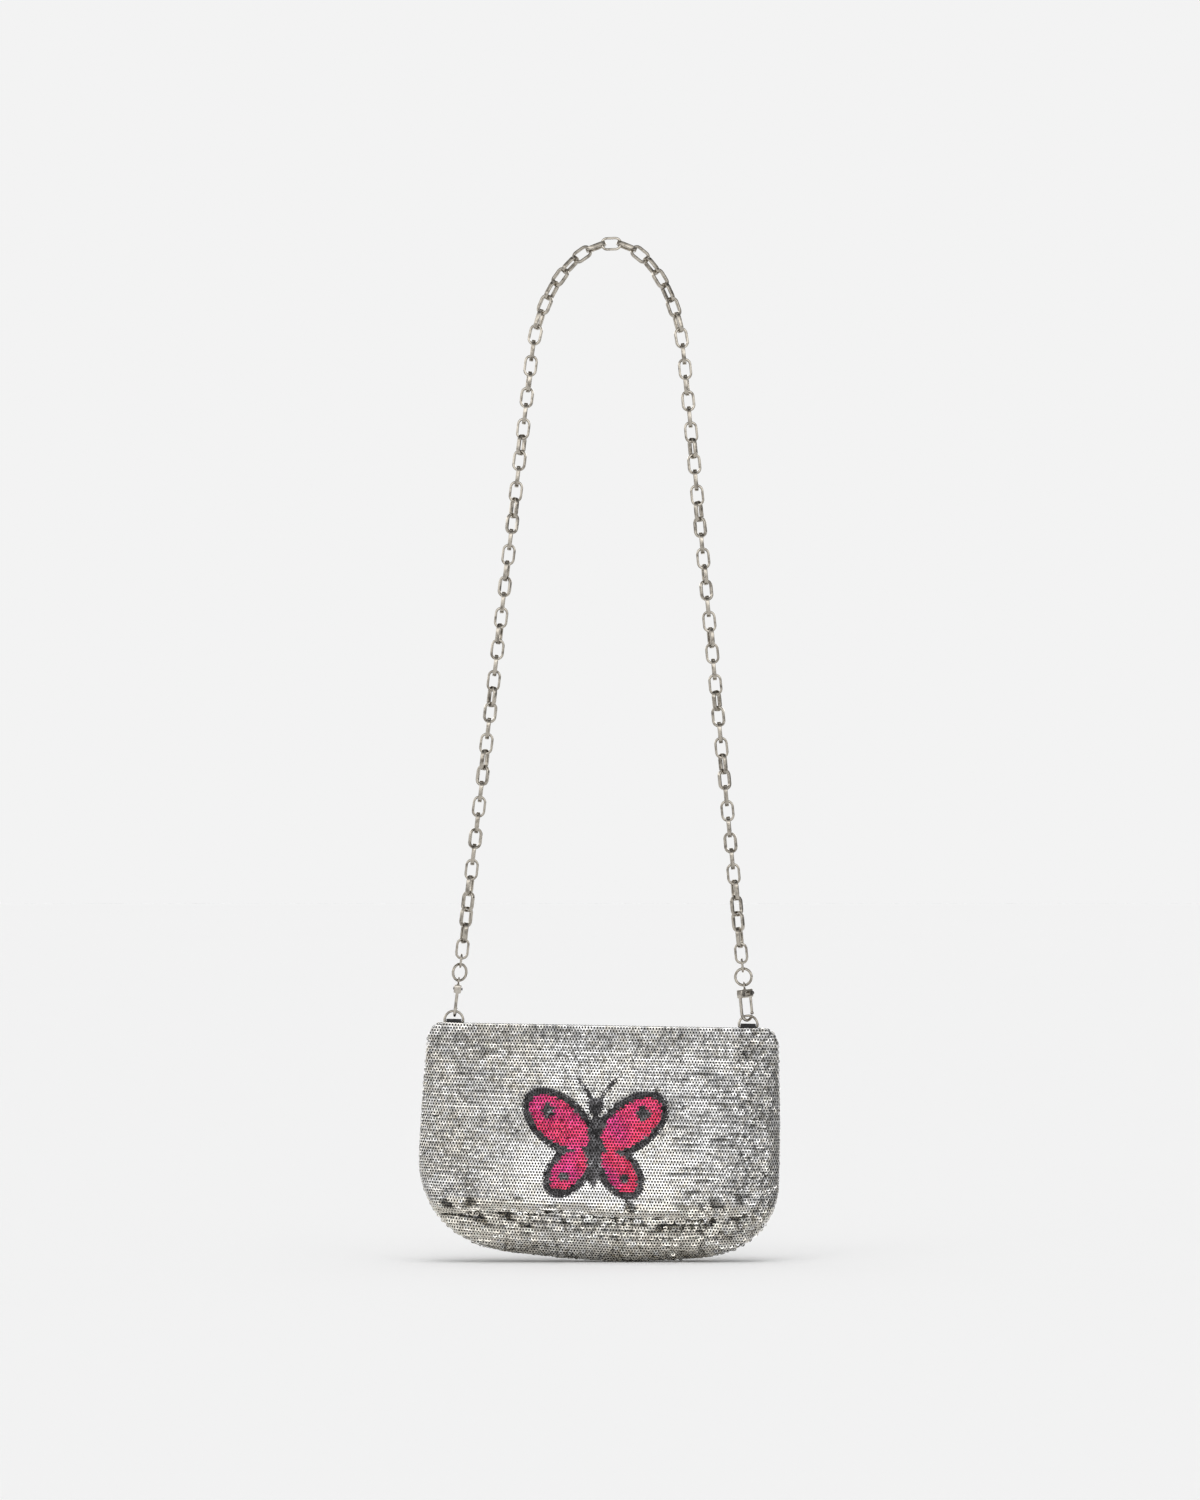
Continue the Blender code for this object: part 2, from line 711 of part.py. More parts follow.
def half_width(depth):
    """Half the pouch's width at a depth, above its round bottom corners."""
    share = min(depth / (BAG_TALL * WIDEST_SHARE), 1.0)
    wide = BAG_TOP_HALF_WIDTH + (BAG_HALF_WIDTH - BAG_TOP_HALF_WIDTH) * math.sin(share * math.pi / 2)
    rise = max(1 - depth / TOP_CORNER, 0.0)
    return wide - TOP_CORNER * (1 - math.sqrt(1 - rise * rise))


def belly(share):
    """Share of the bottom's sag at a place across: all of it where it is lowest."""
    reach = 1 - math.copysign(BELLY_PLACE_SHARE, share - BELLY_PLACE_SHARE)
    return 1 - ((share - BELLY_PLACE_SHARE) / reach) ** 2


def fullness(share):
    """How full the pouch is across its width: 1 in the middle, 0 at a seam."""
    return math.sqrt(max(1 - abs(share) ** SIDE_ROUNDNESS, 0.0))


def column_shares(columns):
    """Places across the pouch, closer together towards the side seams."""
    return [math.sin(math.pi * (i / columns - 0.5)) for i in range(columns + 1)]


def side_reach(depth, corner, inset):
    """Half width on one side at a depth, with that side's round bottom corner."""
    radius = corner - inset
    low = min(max(depth - (BAG_TALL - corner), 0.0), radius)
    return half_width(depth) - corner + math.sqrt(radius * radius - low * low)


def row_depths(start):
    """Depths of the rows above the round bottom, closer together at the mouth."""
    below = BAG_TALL - max(LEFT_CORNER, RIGHT_CORNER) - TOP_CORNER
    depths = [TOP_CORNER * TOP_CORNER_ROW_SHARE]
    depths += [TOP_CORNER + below * i / STRAIGHT_ROWS for i in range(STRAIGHT_ROWS)]
    return [start] + [depth for depth in depths if depth > start + OVERRUN]


def pouch_rows(start, inset):
    """Depth, reach to the left and right, half thickness and share of sag of each row."""
    corner = max(LEFT_CORNER, RIGHT_CORNER)
    rows = [(depth, half_depth(depth) - inset, 0.0) for depth in row_depths(start)]
    for i in range(CORNER_ROWS + 1):
        angle = math.pi / 2 * i / CORNER_ROWS
        depth = BAG_TALL - corner + (corner - inset) * math.sin(angle)
        deep = (BAG_HALF_DEEP - inset) * max(math.cos(angle), 0.0) ** CORNER_FULLNESS
        rows.append((depth, deep, math.sin(angle)))
    finished = []
    for depth, deep, sagging in rows:
        reaches = [side_reach(depth, side, inset) for side in (LEFT_CORNER, RIGHT_CORNER)]
        finished.append((depth, reaches, deep, sagging))
    return finished


def skin_points(start, inset, facing, columns):
    """Grid of points on the pouch, moved in from its outer surface."""
    grid = []
    for depth, reaches, deep, sagging in pouch_rows(start, inset):
        row = []
        for share in column_shares(columns):
            sag = BAG_BELLY * sagging * belly(share)
            row.append(Vector((
                BAG_SHIFT + share * reaches[share > 0],
                facing * (GAP / 2 + deep * fullness(share)),
                -BAG_TOP_DROP - depth - sag)))
        grid.append(row)
    return grid


def skin_mesh(start, inset, thick, facing, columns_across):
    """One closed half of the pouch: an outer and an inner skin and their rim."""
    bm = bmesh.new()
    sheets = []
    for depth in (inset, inset + thick):
        grid = skin_points(start, depth, facing, columns_across)
        sheets.append([[bm.verts.new(point) for point in row] for row in grid])
    rows, columns = len(sheets[0]), len(sheets[0][0])
    for sheet in sheets:
        for i in range(rows - 1):
            for j in range(columns - 1):
                bm.faces.new((sheet[i][j], sheet[i][j + 1], sheet[i + 1][j + 1], sheet[i + 1][j]))
    border = [(0, j) for j in range(columns)]
    border += [(i, columns - 1) for i in range(1, rows)]
    border += [(rows - 1, j) for j in range(columns - 2, -1, -1)]
    border += [(i, 0) for i in range(rows - 2, 0, -1)]
    outer, inner = sheets
    for (i, j), (k, m) in zip(border, border[1:] + border[:1]):
        bm.faces.new((outer[i][j], outer[k][m], inner[k][m], inner[i][j]))
    return mesh_from(bm)


def build_pouch():
    lining_start = ZIP_DEPTH + TAPE_THICK + GAP
    for facing, name in ((-1, "front"), (1, "back")):
        panel = skin_mesh(0.0, 0.0, PANEL_THICK, facing, PANEL_COLUMNS)
        place(f"{name}_panel", panel, POUCH_FRAME, "sequin_cloth")
        lining = skin_mesh(lining_start, PANEL_THICK + LINING_GAP, LINING_THICK, facing, LINING_COLUMNS)
        place(f"lining_{name}", lining, POUCH_FRAME, "lining_satin")


# Zip, in the pouch's axes, all heights below the pouch's top edge

ZIP_HALF = BAR_HALF - TAB_WIDE / 2 - abs(BAG_SHIFT) - ZIP_TAB_GAP
TAPE_TOP = -BAG_TOP_DROP - ZIP_DEPTH
COIL_BASE = TAPE_TOP + GAP
COIL_TOP = COIL_BASE + COIL_TALL
PLATE_BASE = COIL_TOP + GAP
PLATE_TOP = PLATE_BASE + SLIDER_PLATE
BAIL_TOP = PLATE_TOP + BAIL_HOLE_TALL + BAIL_ROOF
PULL_AXIS_HEIGHT = PLATE_TOP + BAIL_HOLE_TALL / 2
SLIDER_REST = BAG_SHIFT + ZIP_HALF - STOP_LONG - GAP - SLIDER_LONG / 2
SLIDER_TRAVEL = 2 * ZIP_HALF - 2 * STOP_LONG - 2 * GAP - SLIDER_LONG


def tape_mesh(facing):
    """Flat tape from the closed coils out to the pouch's inner wall."""
    bm = bmesh.new()
    shares = [share for share in column_shares(TAPE_COLUMNS) if abs(share) * BAG_TOP_HALF_WIDTH < ZIP_HALF]
    ends = ZIP_HALF / BAG_TOP_HALF_WIDTH
    rings = []
    for share in [-ends] + shares + [ends]:
        x = BAG_SHIFT + share * BAG_TOP_HALF_WIDTH
        wall = GAP / 2 + (half_depth(ZIP_DEPTH) - PANEL_THICK) * fullness(share) - 2 * GAP
        inner, outer = facing * GAP / 2, facing * wall
        low = TAPE_TOP - TAPE_THICK
        corners = ((inner, low), (outer, low), (outer, TAPE_TOP), (inner, TAPE_TOP))
        rings.append([bm.verts.new((x, y, z)) for y, z in corners])
    for ring, following in zip(rings, rings[1:]):
        for i in range(4):
            j = (i + 1) % 4
            bm.faces.new((ring[i], ring[j], following[j], following[i]))
    bm.faces.new(rings[0])
    bm.faces.new(rings[-1])
    return mesh_from(bm)


def build_zip():
    reach = ZIP_HALF - STOP_LONG - GAP
    for facing, name in ((-1, "front"), (1, "back")):
        place(f"zip_tape_{name}", tape_mesh(facing), POUCH_FRAME, "zip_tape", smooth=False)
        sides = sorted((facing * GAP / 2, facing * (GAP / 2 + COIL_WIDE)))
        coil = box_mesh((BAG_SHIFT - reach, sides[0], COIL_BASE), (BAG_SHIFT + reach, sides[1], COIL_TOP))
        place(f"zip_coil_{name}", coil, POUCH_FRAME, "zip_coil", smooth=False)
    for side, name in SIDE_NAMES.items():
        ends = sorted((BAG_SHIFT + side * ZIP_HALF, BAG_SHIFT + side * (ZIP_HALF - STOP_LONG)))
        stop = box_mesh(
            (ends[0], -STOP_WIDE / 2, COIL_BASE), (ends[1], STOP_WIDE / 2, COIL_BASE + STOP_TALL), ZIP_BEVEL)
        place(f"zip_stop_{name}", stop, POUCH_FRAME, "nickel", smooth=False)


def slider_mesh():
    """Slider plate, side flanges and the bail, centred on its own X."""
    half, wide = SLIDER_LONG / 2, SLIDER_WIDE / 2
    end, flange_low = half - ZIP_BEVEL, PLATE_BASE - FLANGE_TALL
    sunk = PLATE_TOP - ZIP_BEVEL
    parts = [box_mesh((-half, -wide, PLATE_BASE), (half, wide, PLATE_TOP), ZIP_BEVEL)]
    for side in (-1, 1):
        low, high = sorted((side * wide, side * (wide - FLANGE_THICK)))
        parts.append(box_mesh((-end, low, flange_low), (end, high, sunk)))
    bail, bail_wide = BAIL_LONG / 2, BAIL_WIDE / 2
    parts.append(box_mesh((-bail, -bail_wide, sunk), (bail, bail_wide, BAIL_TOP), ZIP_BEVEL))
    hole = BAIL_HOLE_LONG / 2
    cutter = box_mesh((-hole, -BAIL_WIDE, PLATE_TOP), (hole, BAIL_WIDE, PLATE_TOP + BAIL_HOLE_TALL))
    return combined(joined(parts), cutter, "DIFFERENCE")


def pull_mesh():
    """Flat pull with its bar on the origin and its length towards -X."""
    half = PULL_WIDE / 2
    end, thick = PULL_BAR / 2, PULL_THICK / 2
    plate = box_mesh((end - PULL_LONG, -half, -thick), (end, half, thick))
    window = box_mesh(
        (-PULL_BAR / 2 - PULL_WINDOW, -PULL_WINDOW_WIDE / 2, -PULL_THICK),
        (-PULL_BAR / 2, PULL_WINDOW_WIDE / 2, PULL_THICK))
    return combined(plate, window, "DIFFERENCE")


def build_slider():
    at_rest = POUCH_FRAME @ Matrix.Translation((SLIDER_REST, 0, 0))
    place("zip_slider", slider_mesh(), at_rest, "nickel", smooth=False)
    axis = Matrix.Translation((0, 0, PULL_AXIS_HEIGHT))
    place("zip_pull", pull_mesh(), at_rest @ axis, "nickel", smooth=False)


def main():
    clear_scene()
    build_crown()
    for run in range(RUNS):
        for side in SIDE_NAMES:
            build_run(side, run)
    for side in SIDE_NAMES:
        build_rings(side)
        build_eye(side)
        build_clasp(side)
        build_d_ring(side)
        build_tab(side)
    build_pouch()
    build_zip()
    build_slider()


main()
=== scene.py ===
"""Looks of the sequin shoulder bag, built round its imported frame.

Chain links, rings, clasps and tabs are modelled again in fine form on the
frame's own sizes, and the pouch is a wrinkled cloth shell with every sequin
laid on it as a disc. All lengths are metres, in the frame's axes: origin on
the peg under the top link, +Z up, the front facing -Y.
"""

from math import ceil, cos, pi, radians, sin, sqrt

import bmesh
import bpy
import numpy as np
from mathutils import Matrix, Vector, noise


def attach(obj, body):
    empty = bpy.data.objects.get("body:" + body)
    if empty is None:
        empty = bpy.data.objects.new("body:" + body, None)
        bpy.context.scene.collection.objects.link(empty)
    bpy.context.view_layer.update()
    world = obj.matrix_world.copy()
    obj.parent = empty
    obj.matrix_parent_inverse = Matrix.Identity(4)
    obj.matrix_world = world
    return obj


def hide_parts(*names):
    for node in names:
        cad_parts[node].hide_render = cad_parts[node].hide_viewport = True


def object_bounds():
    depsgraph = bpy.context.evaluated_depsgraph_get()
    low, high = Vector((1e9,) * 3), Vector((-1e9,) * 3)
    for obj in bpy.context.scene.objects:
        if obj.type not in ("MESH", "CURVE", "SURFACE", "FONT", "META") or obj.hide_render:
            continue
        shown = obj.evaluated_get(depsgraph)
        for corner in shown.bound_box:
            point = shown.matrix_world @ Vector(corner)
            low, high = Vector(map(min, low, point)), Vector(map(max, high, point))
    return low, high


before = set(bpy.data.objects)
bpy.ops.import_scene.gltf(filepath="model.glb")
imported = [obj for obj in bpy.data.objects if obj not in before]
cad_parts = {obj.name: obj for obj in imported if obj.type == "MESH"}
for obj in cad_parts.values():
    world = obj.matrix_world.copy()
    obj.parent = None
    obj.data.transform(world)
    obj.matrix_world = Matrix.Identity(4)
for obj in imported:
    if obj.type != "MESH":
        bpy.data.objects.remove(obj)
CAD_LOW, CAD_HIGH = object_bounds()

MM = 0.001
chance = np.random.default_rng(7)


def mm(*lengths):
    return [length * MM for length in lengths]


# Sizes repeated from the frame's source

GAP = 0.3 * MM
SWING_GAP = 0.45 * MM
BITE = 0.12 * MM
CROWN_LEFT, CROWN_RIGHT, CROWN_HEIGHT = mm(47.2, 41.6, 76.0)
LEFT_SPREAD, RIGHT_SPREAD, TOP_SHIFT = 0.8615, 0.7299, 1.2 * MM
LINK_PITCH, LINK_INNER = mm(11.0, 6.0)
BAND_THICK, BAND_WIDE = mm(1.7, 2.8)
CAD_ARC_STEPS = 5
CROWN_LINKS, RUN_LINKS, RUNS, LAST_LINKS = 9, 4, 9, 6
LEG_LINKS = CROWN_LINKS + (RUNS - 1) * RUN_LINKS + LAST_LINKS
JUMP_WIRE, JUMP_INNER, JUMP_DROP = mm(1.6, 4.6, 6.4)
RING_WIRE, RING_OUTER = mm(1.9, 13.4)
EYE_WIRE, EYE_INNER = mm(1.3, 2.6)
STEM_WIRE, RIVET_HEAD, RIVET_THICK = mm(2.2, 3.4, 1.0)
BLOCK_WIDE, BLOCK_DEEP, BLOCK_TALL = mm(12.0, 5.0, 5.8)
BLOCK_TOP_WALL, WINDOW_LEFT, WINDOW_RIGHT, WINDOW_TALL = mm(1.5, 2.6, 2.1, 3.0)
SLOT_START, SLOT_WIDE, SLOT_TOP_WALL = mm(2.8, 2.9, 0.7)
HOOK_WIRE, HOOK_OUTER, HOOK_DROP = mm(2.2, 12.6, 16.8)
HOOK_END = radians(-30.0)
GATE_WIRE, GATE_HUB, GATE_HUB_WIDE, GATE_PIN_X = mm(1.9, 3.0, 2.2, 5.0)
GATE_BALL, GATE_BALL_RISE = mm(2.6, 0.5)
PIN_WIRE, PIN_HEAD, PIN_HEAD_THICK, PIN_BORE = mm(1.2, 2.4, 0.5, 1.9)
LEFT_YAW, RIGHT_YAW = radians(90.0), radians(46.0)
D_WIRE, D_OUTER, D_TALL, D_CORNER, D_SEAT = mm(1.7, 14.6, 9.45, 0.9, 1.2)
TAB_WIDE, TAB_THICK, TAB_STEM, TAB_LENGTH = mm(10.5, 1.15, 2.6, 12.0)
BAG_HALF_WIDTH, BAG_TALL = mm(125.0, 156.0)
MOUTH_WIDTH_SHARE, WIDEST_SHARE = 0.968, 0.6
BAG_TOP_HALF_WIDTH = BAG_HALF_WIDTH * MOUTH_WIDTH_SHARE
BAG_TOP_DROP, BAG_SHIFT, BAG_LEAN = 2.6 * MM, 1.6 * MM, radians(0.8)
LEFT_CORNER, RIGHT_CORNER, BAG_HALF_DEEP = mm(64.0, 52.0, 20.0)
BAG_BELLY, BELLY_PLACE = 4.5 * MM, 0.2
MOUTH_HALF_DEEP, SHOULDER_TALL = mm(7.0, 62.0)
PANEL_THICK, LINING_THICK, LINING_GAP = mm(1.8, 0.8, 0.9)
SIDE_ROUNDNESS, CORNER_FULLNESS = 4, 0.7
ZIP_TAB_GAP, ZIP_DEPTH, TAPE_THICK = mm(3.15, 4.5, 0.8)
COIL_WIDE, COIL_TALL, STOP_LONG = mm(1.2, 1.2, 3.0)

# How finely curves are drawn here, and how edges are rounded
ARC_STEPS, CIRCLE_STEPS, EYE_STEPS, HOOK_STEPS, D_STEPS, D_CORNER_STEPS = 14, 40, 28, 26, 30, 5
WIRE_SIDES = 14
BAND_CORNER, EYE_RIM, GATE_RIM = mm(0.5, 0.25, 0.2)
BLOCK_BEVEL, WINDOW_BEVEL, HOOK_TIP = 0.8 * MM, 0.4 * MM, [0.92, 0.7]
PIN_DOME, PIN_TIP = 0.6, 0.55

# Where this file departs from the frame: turns of links and rings, and the ends of the mouth
TWIST, CROWN_DRIFT = radians(30.0), radians(34.0)
TWIST_START, TWIST_PER_RUN, TWIST_PER_LINK = -1.0, 2.3, 0.7
RING_TURNS = {-1: radians(38.0), 1: radians(-14.0)}
TOP_CORNER, TOP_RISE = mm(9.5, 2.8)

SIDE_NAMES = {-1: "left", 1: "right"}
DEEP = Vector((0, 1, 0))
QUARTER = Matrix.Rotation(pi / 2, 4, "Z")


# Materials

def node(tree, kind, inputs=(), **settings):
    """Add a shader node, set its properties, and set or link its inputs."""
    made = tree.nodes.new("ShaderNode" + kind)
    for key, value in settings.items():
        setattr(made, key, value)
    for key, value in dict(inputs).items():
        if isinstance(value, bpy.types.NodeSocket):
            tree.links.new(value, made.inputs[key])
        else:
            made.inputs[key].default_value = value
    return made


def maths(tree, operation, first, second):
    return node(tree, "Math", {0: first, 1: second}, operation=operation).outputs[0]


def ramp(tree, factor, stops):
    """Colour ramp through (position, grey or colour) stops."""
    made = node(tree, "ValToRGB", {"Fac": factor})
    elements = made.color_ramp.elements
    while len(elements) < len(stops):
        elements.new(0.5)
    for element, (position, colour) in zip(elements, stops):
        if isinstance(colour, (int, float)):
            colour = (colour,) * 3
        element.position = position
        element.color = (*colour, 1.0)
    return made.outputs["Color"]


def new_material(name, colour, metallic, roughness, more=()):
    """Principled material and its tree."""
    material = bpy.data.materials.new(name)
    material.use_nodes = True
    inputs = {"Base Color": (*colour, 1.0), "Metallic": metallic, "Roughness": roughness, **dict(more)}
    for key, value in inputs.items():
        material.node_tree.nodes["Principled BSDF"].inputs[key].default_value = value
    return material, material.node_tree


def object_place(tree, scale=(1, 1, 1)):
    """Object coordinates stretched by a scale for each axis."""
    place = node(tree, "TexCoord").outputs["Object"]
    return node(tree, "Mapping", {"Vector": place, "Scale": scale}).outputs["Vector"]


def noise_of(tree, place, scale, detail=2.0):
    inputs = {"Vector": place, "Scale": scale, "Detail": detail, "Roughness": 0.5}
    return node(tree, "TexNoise", inputs).outputs["Fac"]


def dressed(material, height, depth, strength, colour, roughness=None):
    """The material with its relief, colour and, where one is given, roughness linked."""
    tree = material.node_tree
    relief = node(tree, "Bump", {"Height": height, "Distance": depth, "Strength": strength})
    sockets = {"Normal": relief.outputs["Normal"], "Base Color": colour, "Roughness": roughness}
    for key, socket in sockets.items():
        if socket is not None:
            tree.links.new(socket, tree.nodes["Principled BSDF"].inputs[key])
    return material


def nickel_material(name, colour, dark, roughness):
    """Plated nickel: soft tarnish, fine scratches and uneven polish."""
    material, tree = new_material(name, colour, 1.0, roughness)
    place = object_place(tree)
    lighter = tuple(c * 1.06 for c in colour)
    tint = ramp(tree, noise_of(tree, place, 260.0, 4.0), [(0.30, dark), (0.52, colour), (0.75, lighter)])
    scratches = noise_of(tree, object_place(tree, (1, 1, 0.15)), 4200.0)
    polish = ramp(tree, scratches, [(0.35, roughness * 0.7), (0.7, roughness * 1.7)])
    return dressed(material, noise_of(tree, place, 900.0), 0.04 * MM, 0.5, tint, polish)


def sequin_material():
    """Foil sequins: colour from each disc's own attribute, with a pressed, slightly uneven face."""
    material, tree = new_material("sequin_foil", (0.6, 0.6, 0.6), 0.94, 0.24)
    tint = node(tree, "Attribute", attribute_name="tint").outputs["Color"]
    place = object_place(tree)
    flecks = ramp(tree, noise_of(tree, place, 700.0), [(0.3, 0.90), (0.7, 1.0)])
    mixed = node(tree, "Mix", {"Factor": 1.0, "A": tint, "B": flecks},
                 data_type="RGBA", blend_type="MULTIPLY").outputs["Result"]
    gloss = ramp(tree, noise_of(tree, place, 380.0), [(0.3, 0.10), (0.72, 0.24)])
    return dressed(material, noise_of(tree, place, 1100.0), 0.03 * MM, 0.5, mixed, gloss)


def cloth_material(name, colour, lighter, roughness, thread, sheen, stretch=(1, 1, 1)):
    """Woven cloth: two crossing sets of threads, uneven colour and a soft sheen."""
    pile = {"Sheen Weight": sheen, "Sheen Roughness": 0.4}
    material, tree = new_material(name, colour, 0.0, roughness, pile)
    place = object_place(tree, stretch)
    warp, weft = [
        node(tree, "TexWave", {"Vector": place, "Scale": thread, "Distortion": 0.6},
             wave_type="BANDS", bands_direction=direction).outputs["Fac"]
        for direction in ("X", "Z")
    ]
    weave = maths(tree, "MULTIPLY", warp, weft)
    level = maths(tree, "MULTIPLY", weave, noise_of(tree, place, 120.0, 4.0))
    return dressed(material, weave, 0.12 * MM, 0.8, ramp(tree, level, [(0.0, colour), (0.6, lighter)]))


def plastic_material(name, colour, roughness):
    material, tree = new_material(name, colour, 0.0, roughness)
    wear = noise_of(tree, object_place(tree), 600.0, 3.0)
    tint = ramp(tree, wear, [(0.35, colour), (0.75, tuple(c * 1.7 for c in colour))])
    return dressed(material, wear, 0.03 * MM, 0.5, tint)


NICKEL = nickel_material("nickel_chain", (0.45, 0.415, 0.36), (0.17, 0.15, 0.125), 0.12)
NICKEL_CAST = nickel_material("nickel_cast", (0.50, 0.465, 0.41), (0.20, 0.18, 0.155), 0.14)
RIVET = nickel_material("rivet_dark", (0.16, 0.15, 0.14), (0.05, 0.05, 0.05), 0.34)
FOIL = sequin_material()
NET = cloth_material("sequin_net", (0.012, 0.012, 0.013), (0.05, 0.05, 0.052), 0.85, 500.0, 0.2)
RIBBON = cloth_material("tab_grosgrain", (0.010, 0.010, 0.011), (0.045, 0.045, 0.048), 0.72, 330.0, 0.25,
                        (0.05, 1, 1))
SATIN = cloth_material("lining_satin", (0.020, 0.020, 0.022), (0.06, 0.06, 0.065), 0.42, 900.0, 0.3)
TAPE = cloth_material("zip_tape_twill", (0.014, 0.014, 0.015), (0.055, 0.055, 0.06), 0.8, 420.0, 0.2)
COIL = plastic_material("zip_coil_nylon", (0.022, 0.022, 0.024), 0.38)


# Mesh helpers

def mesh_from(bm):
    bmesh.ops.recalc_face_normals(bm, faces=bm.faces)
    mesh = bpy.data.meshes.new("shape")
    bm.to_mesh(mesh)
    bm.free()
    return mesh


def mesh_of(verts, faces, outward=False):
    """Mesh of points and faces; outward turns the faces to the outside."""
    mesh = bpy.data.meshes.new("shape")
    mesh.from_pydata([tuple(v) for v in verts], [], faces)
    mesh.validate()
    if not outward:
        return mesh
    bm = bmesh.new()
    bm.from_mesh(mesh)
    return mesh_from(bm)


def new_object(name, data):
    item = bpy.data.objects.new(name, data)
    bpy.context.scene.collection.objects.link(item)
    return item


def add_piece(name, mesh, material, body, replaces=(), matrix=None, angle=40.0):
    """Put a mesh into the scene as a piece that rides on a body."""
    piece = new_object(name, mesh)
    if matrix is not None:
        mesh.transform(matrix)
    mesh.materials.clear()
    mesh.materials.append(material)
    mesh.shade_smooth()
    mesh.set_sharp_from_angle(angle=radians(angle))
    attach(piece, body)
    if replaces:
        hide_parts(*replaces)
    return piece


def merged(parts):
    """One mesh from several (verts, faces) pairs."""
    verts, faces = [], []
    for some_verts, some_faces in parts:
        faces += [tuple(len(verts) + i for i in face) for face in some_faces]
        verts += some_verts
    return mesh_of(verts, faces)


def tube_faces(count, size, closed=False):
    """Faces of a skin over rings of points, with both ends capped unless it closes on itself."""
    faces = []
    for i in range(count if closed else count - 1):
        a, b = i * size, (i + 1) % count * size
        faces += [(a + j, a + (j + 1) % size, b + (j + 1) % size, b + j) for j in range(size)]
    if not closed:
        faces.append(tuple(range(size))[::-1])
        faces.append(tuple(range((count - 1) * size, count * size)))
    return faces


def sweep(path, section, closed, sizes=None):
    """Skin of a section carried along a path in the XZ plane."""
    verts, count = [], len(path)
    for i, point in enumerate(path):
        before = path[i - 1] if closed or i > 0 else point
        after = path[(i + 1) % count] if closed or i < count - 1 else point
        side = (after - before).normalized().cross(DEEP)
        scale = sizes[i] if sizes else 1.0
        verts += [point + side * (u * scale) + DEEP * (v * scale) for u, v in section]
    return verts, tube_faces(count, len(section), closed)


def wire_mesh(path, wire, closed=True, sizes=None):
    """Round wire along a path in the XZ plane."""
    angles = [2 * pi * i / WIRE_SIDES for i in range(WIRE_SIDES)]
    section = [(wire / 2 * cos(angle), wire / 2 * sin(angle)) for angle in angles]
    return mesh_of(*sweep(path, section, closed, sizes))


def arc(x, z, radius, start, end, steps):
    """Points along an arc in the XZ plane."""
    angles = [start + (end - start) * i / steps for i in range(steps + 1)]
    return [Vector((x + radius * cos(angle), 0, z + radius * sin(angle))) for angle in angles]


def soft_section(thick, wide, corner, steps=3):
    """Rectangle with rounded corners, as a loop of points."""
    points = []
    for number, (sign_u, sign_v) in enumerate(((1, 1), (-1, 1), (-1, -1), (1, -1))):
        for i in range(steps + 1):
            angle = pi / 2 * (number + i / steps)
            points.append((sign_u * (thick / 2 - corner) + corner * cos(angle),
                           sign_v * (wide / 2 - corner) + corner * sin(angle)))
    return points


def stadium(top, bottom, inner_width, thick):
    """Centre line of an oval ring whose hole runs from top to bottom."""
    inner = inner_width / 2
    middle = inner + thick / 2
    return (arc(0, top - inner, middle, 0, pi, ARC_STEPS)
            + arc(0, bottom + inner, middle, pi, 2 * pi, ARC_STEPS))


def combined(base, tool, operation):
    """Cut or join two meshes that share their axes, and return the result."""
    pair = new_object("base", base), new_object("tool", tool)
    modifier = pair[0].modifiers.new("combine", "BOOLEAN")
    modifier.operation = operation
    modifier.solver = "EXACT"
    modifier.object = pair[1]
    graph = bpy.context.evaluated_depsgraph_get()
    result = bpy.data.meshes.new_from_object(pair[0].evaluated_get(graph))
    for item in pair:
        bpy.data.objects.remove(item, do_unlink=True)
    return result


def box_mesh(low, high, bevel=0.0, segments=3):
    bm = bmesh.new()
    bmesh.ops.create_cube(bm, size=1.0)
    for vert in bm.verts:
        vert.co = Vector(low[i] + (high[i] - low[i]) * (vert.co[i] + 0.5) for i in range(3))
    if bevel:
        bmesh.ops.bevel(bm, geom=bm.edges[:], offset=bevel, segments=segments, affect="EDGES", profile=0.5)
    return mesh_from(bm)


def turned(profile, axis, centre=(0, 0, 0), steps=24):
    """Turn a profile of (radius, height) pairs about an axis through a centre."""
    turn = Vector((0, 0, 1)).rotation_difference(Vector(axis)).to_matrix()
    angles = [2 * pi * i / steps for i in range(steps)]
    verts = [turn @ Vector((radius * cos(angle), radius * sin(angle), height)) + Vector(centre)
             for radius, height in profile for angle in angles]
    return mesh_of(verts, tube_faces(len(profile), steps), True)


# Chain: the frame's own route, contacts and twists, with fine links

ROUTE_TOP = LINK_INNER / 2 + BAND_THICK + GAP
CAD_REACH = LINK_INNER / 2 * cos(pi / (2 * CAD_ARC_STEPS))
JUMP_REACH = JUMP_INNER / 2 * cos(pi / (2 * CAD_ARC_STEPS))


def band_sag():
    """Rise of the frame's faceted link end at the edge of a band in it."""
    inner = LINK_INNER / 2
    first, second_angle = inner * sin(pi / (2 * CAD_ARC_STEPS)), 3 * pi / (2 * CAD_ARC_STEPS)
    second = inner * sin(second_angle)
    return (CAD_REACH - inner * cos(second_angle)) * (BAND_WIDE / 2 - first) / (second - first)


FUSED_SPACE = 2 * band_sag() - BITE
FREE_SPACE = CAD_REACH + band_sag() - sqrt((CAD_REACH - SWING_GAP) ** 2 - (BAND_WIDE / 2) ** 2)
JUMP_SPACE = JUMP_REACH - sqrt((JUMP_REACH - GAP) ** 2 - (BAND_WIDE / 2) ** 2)


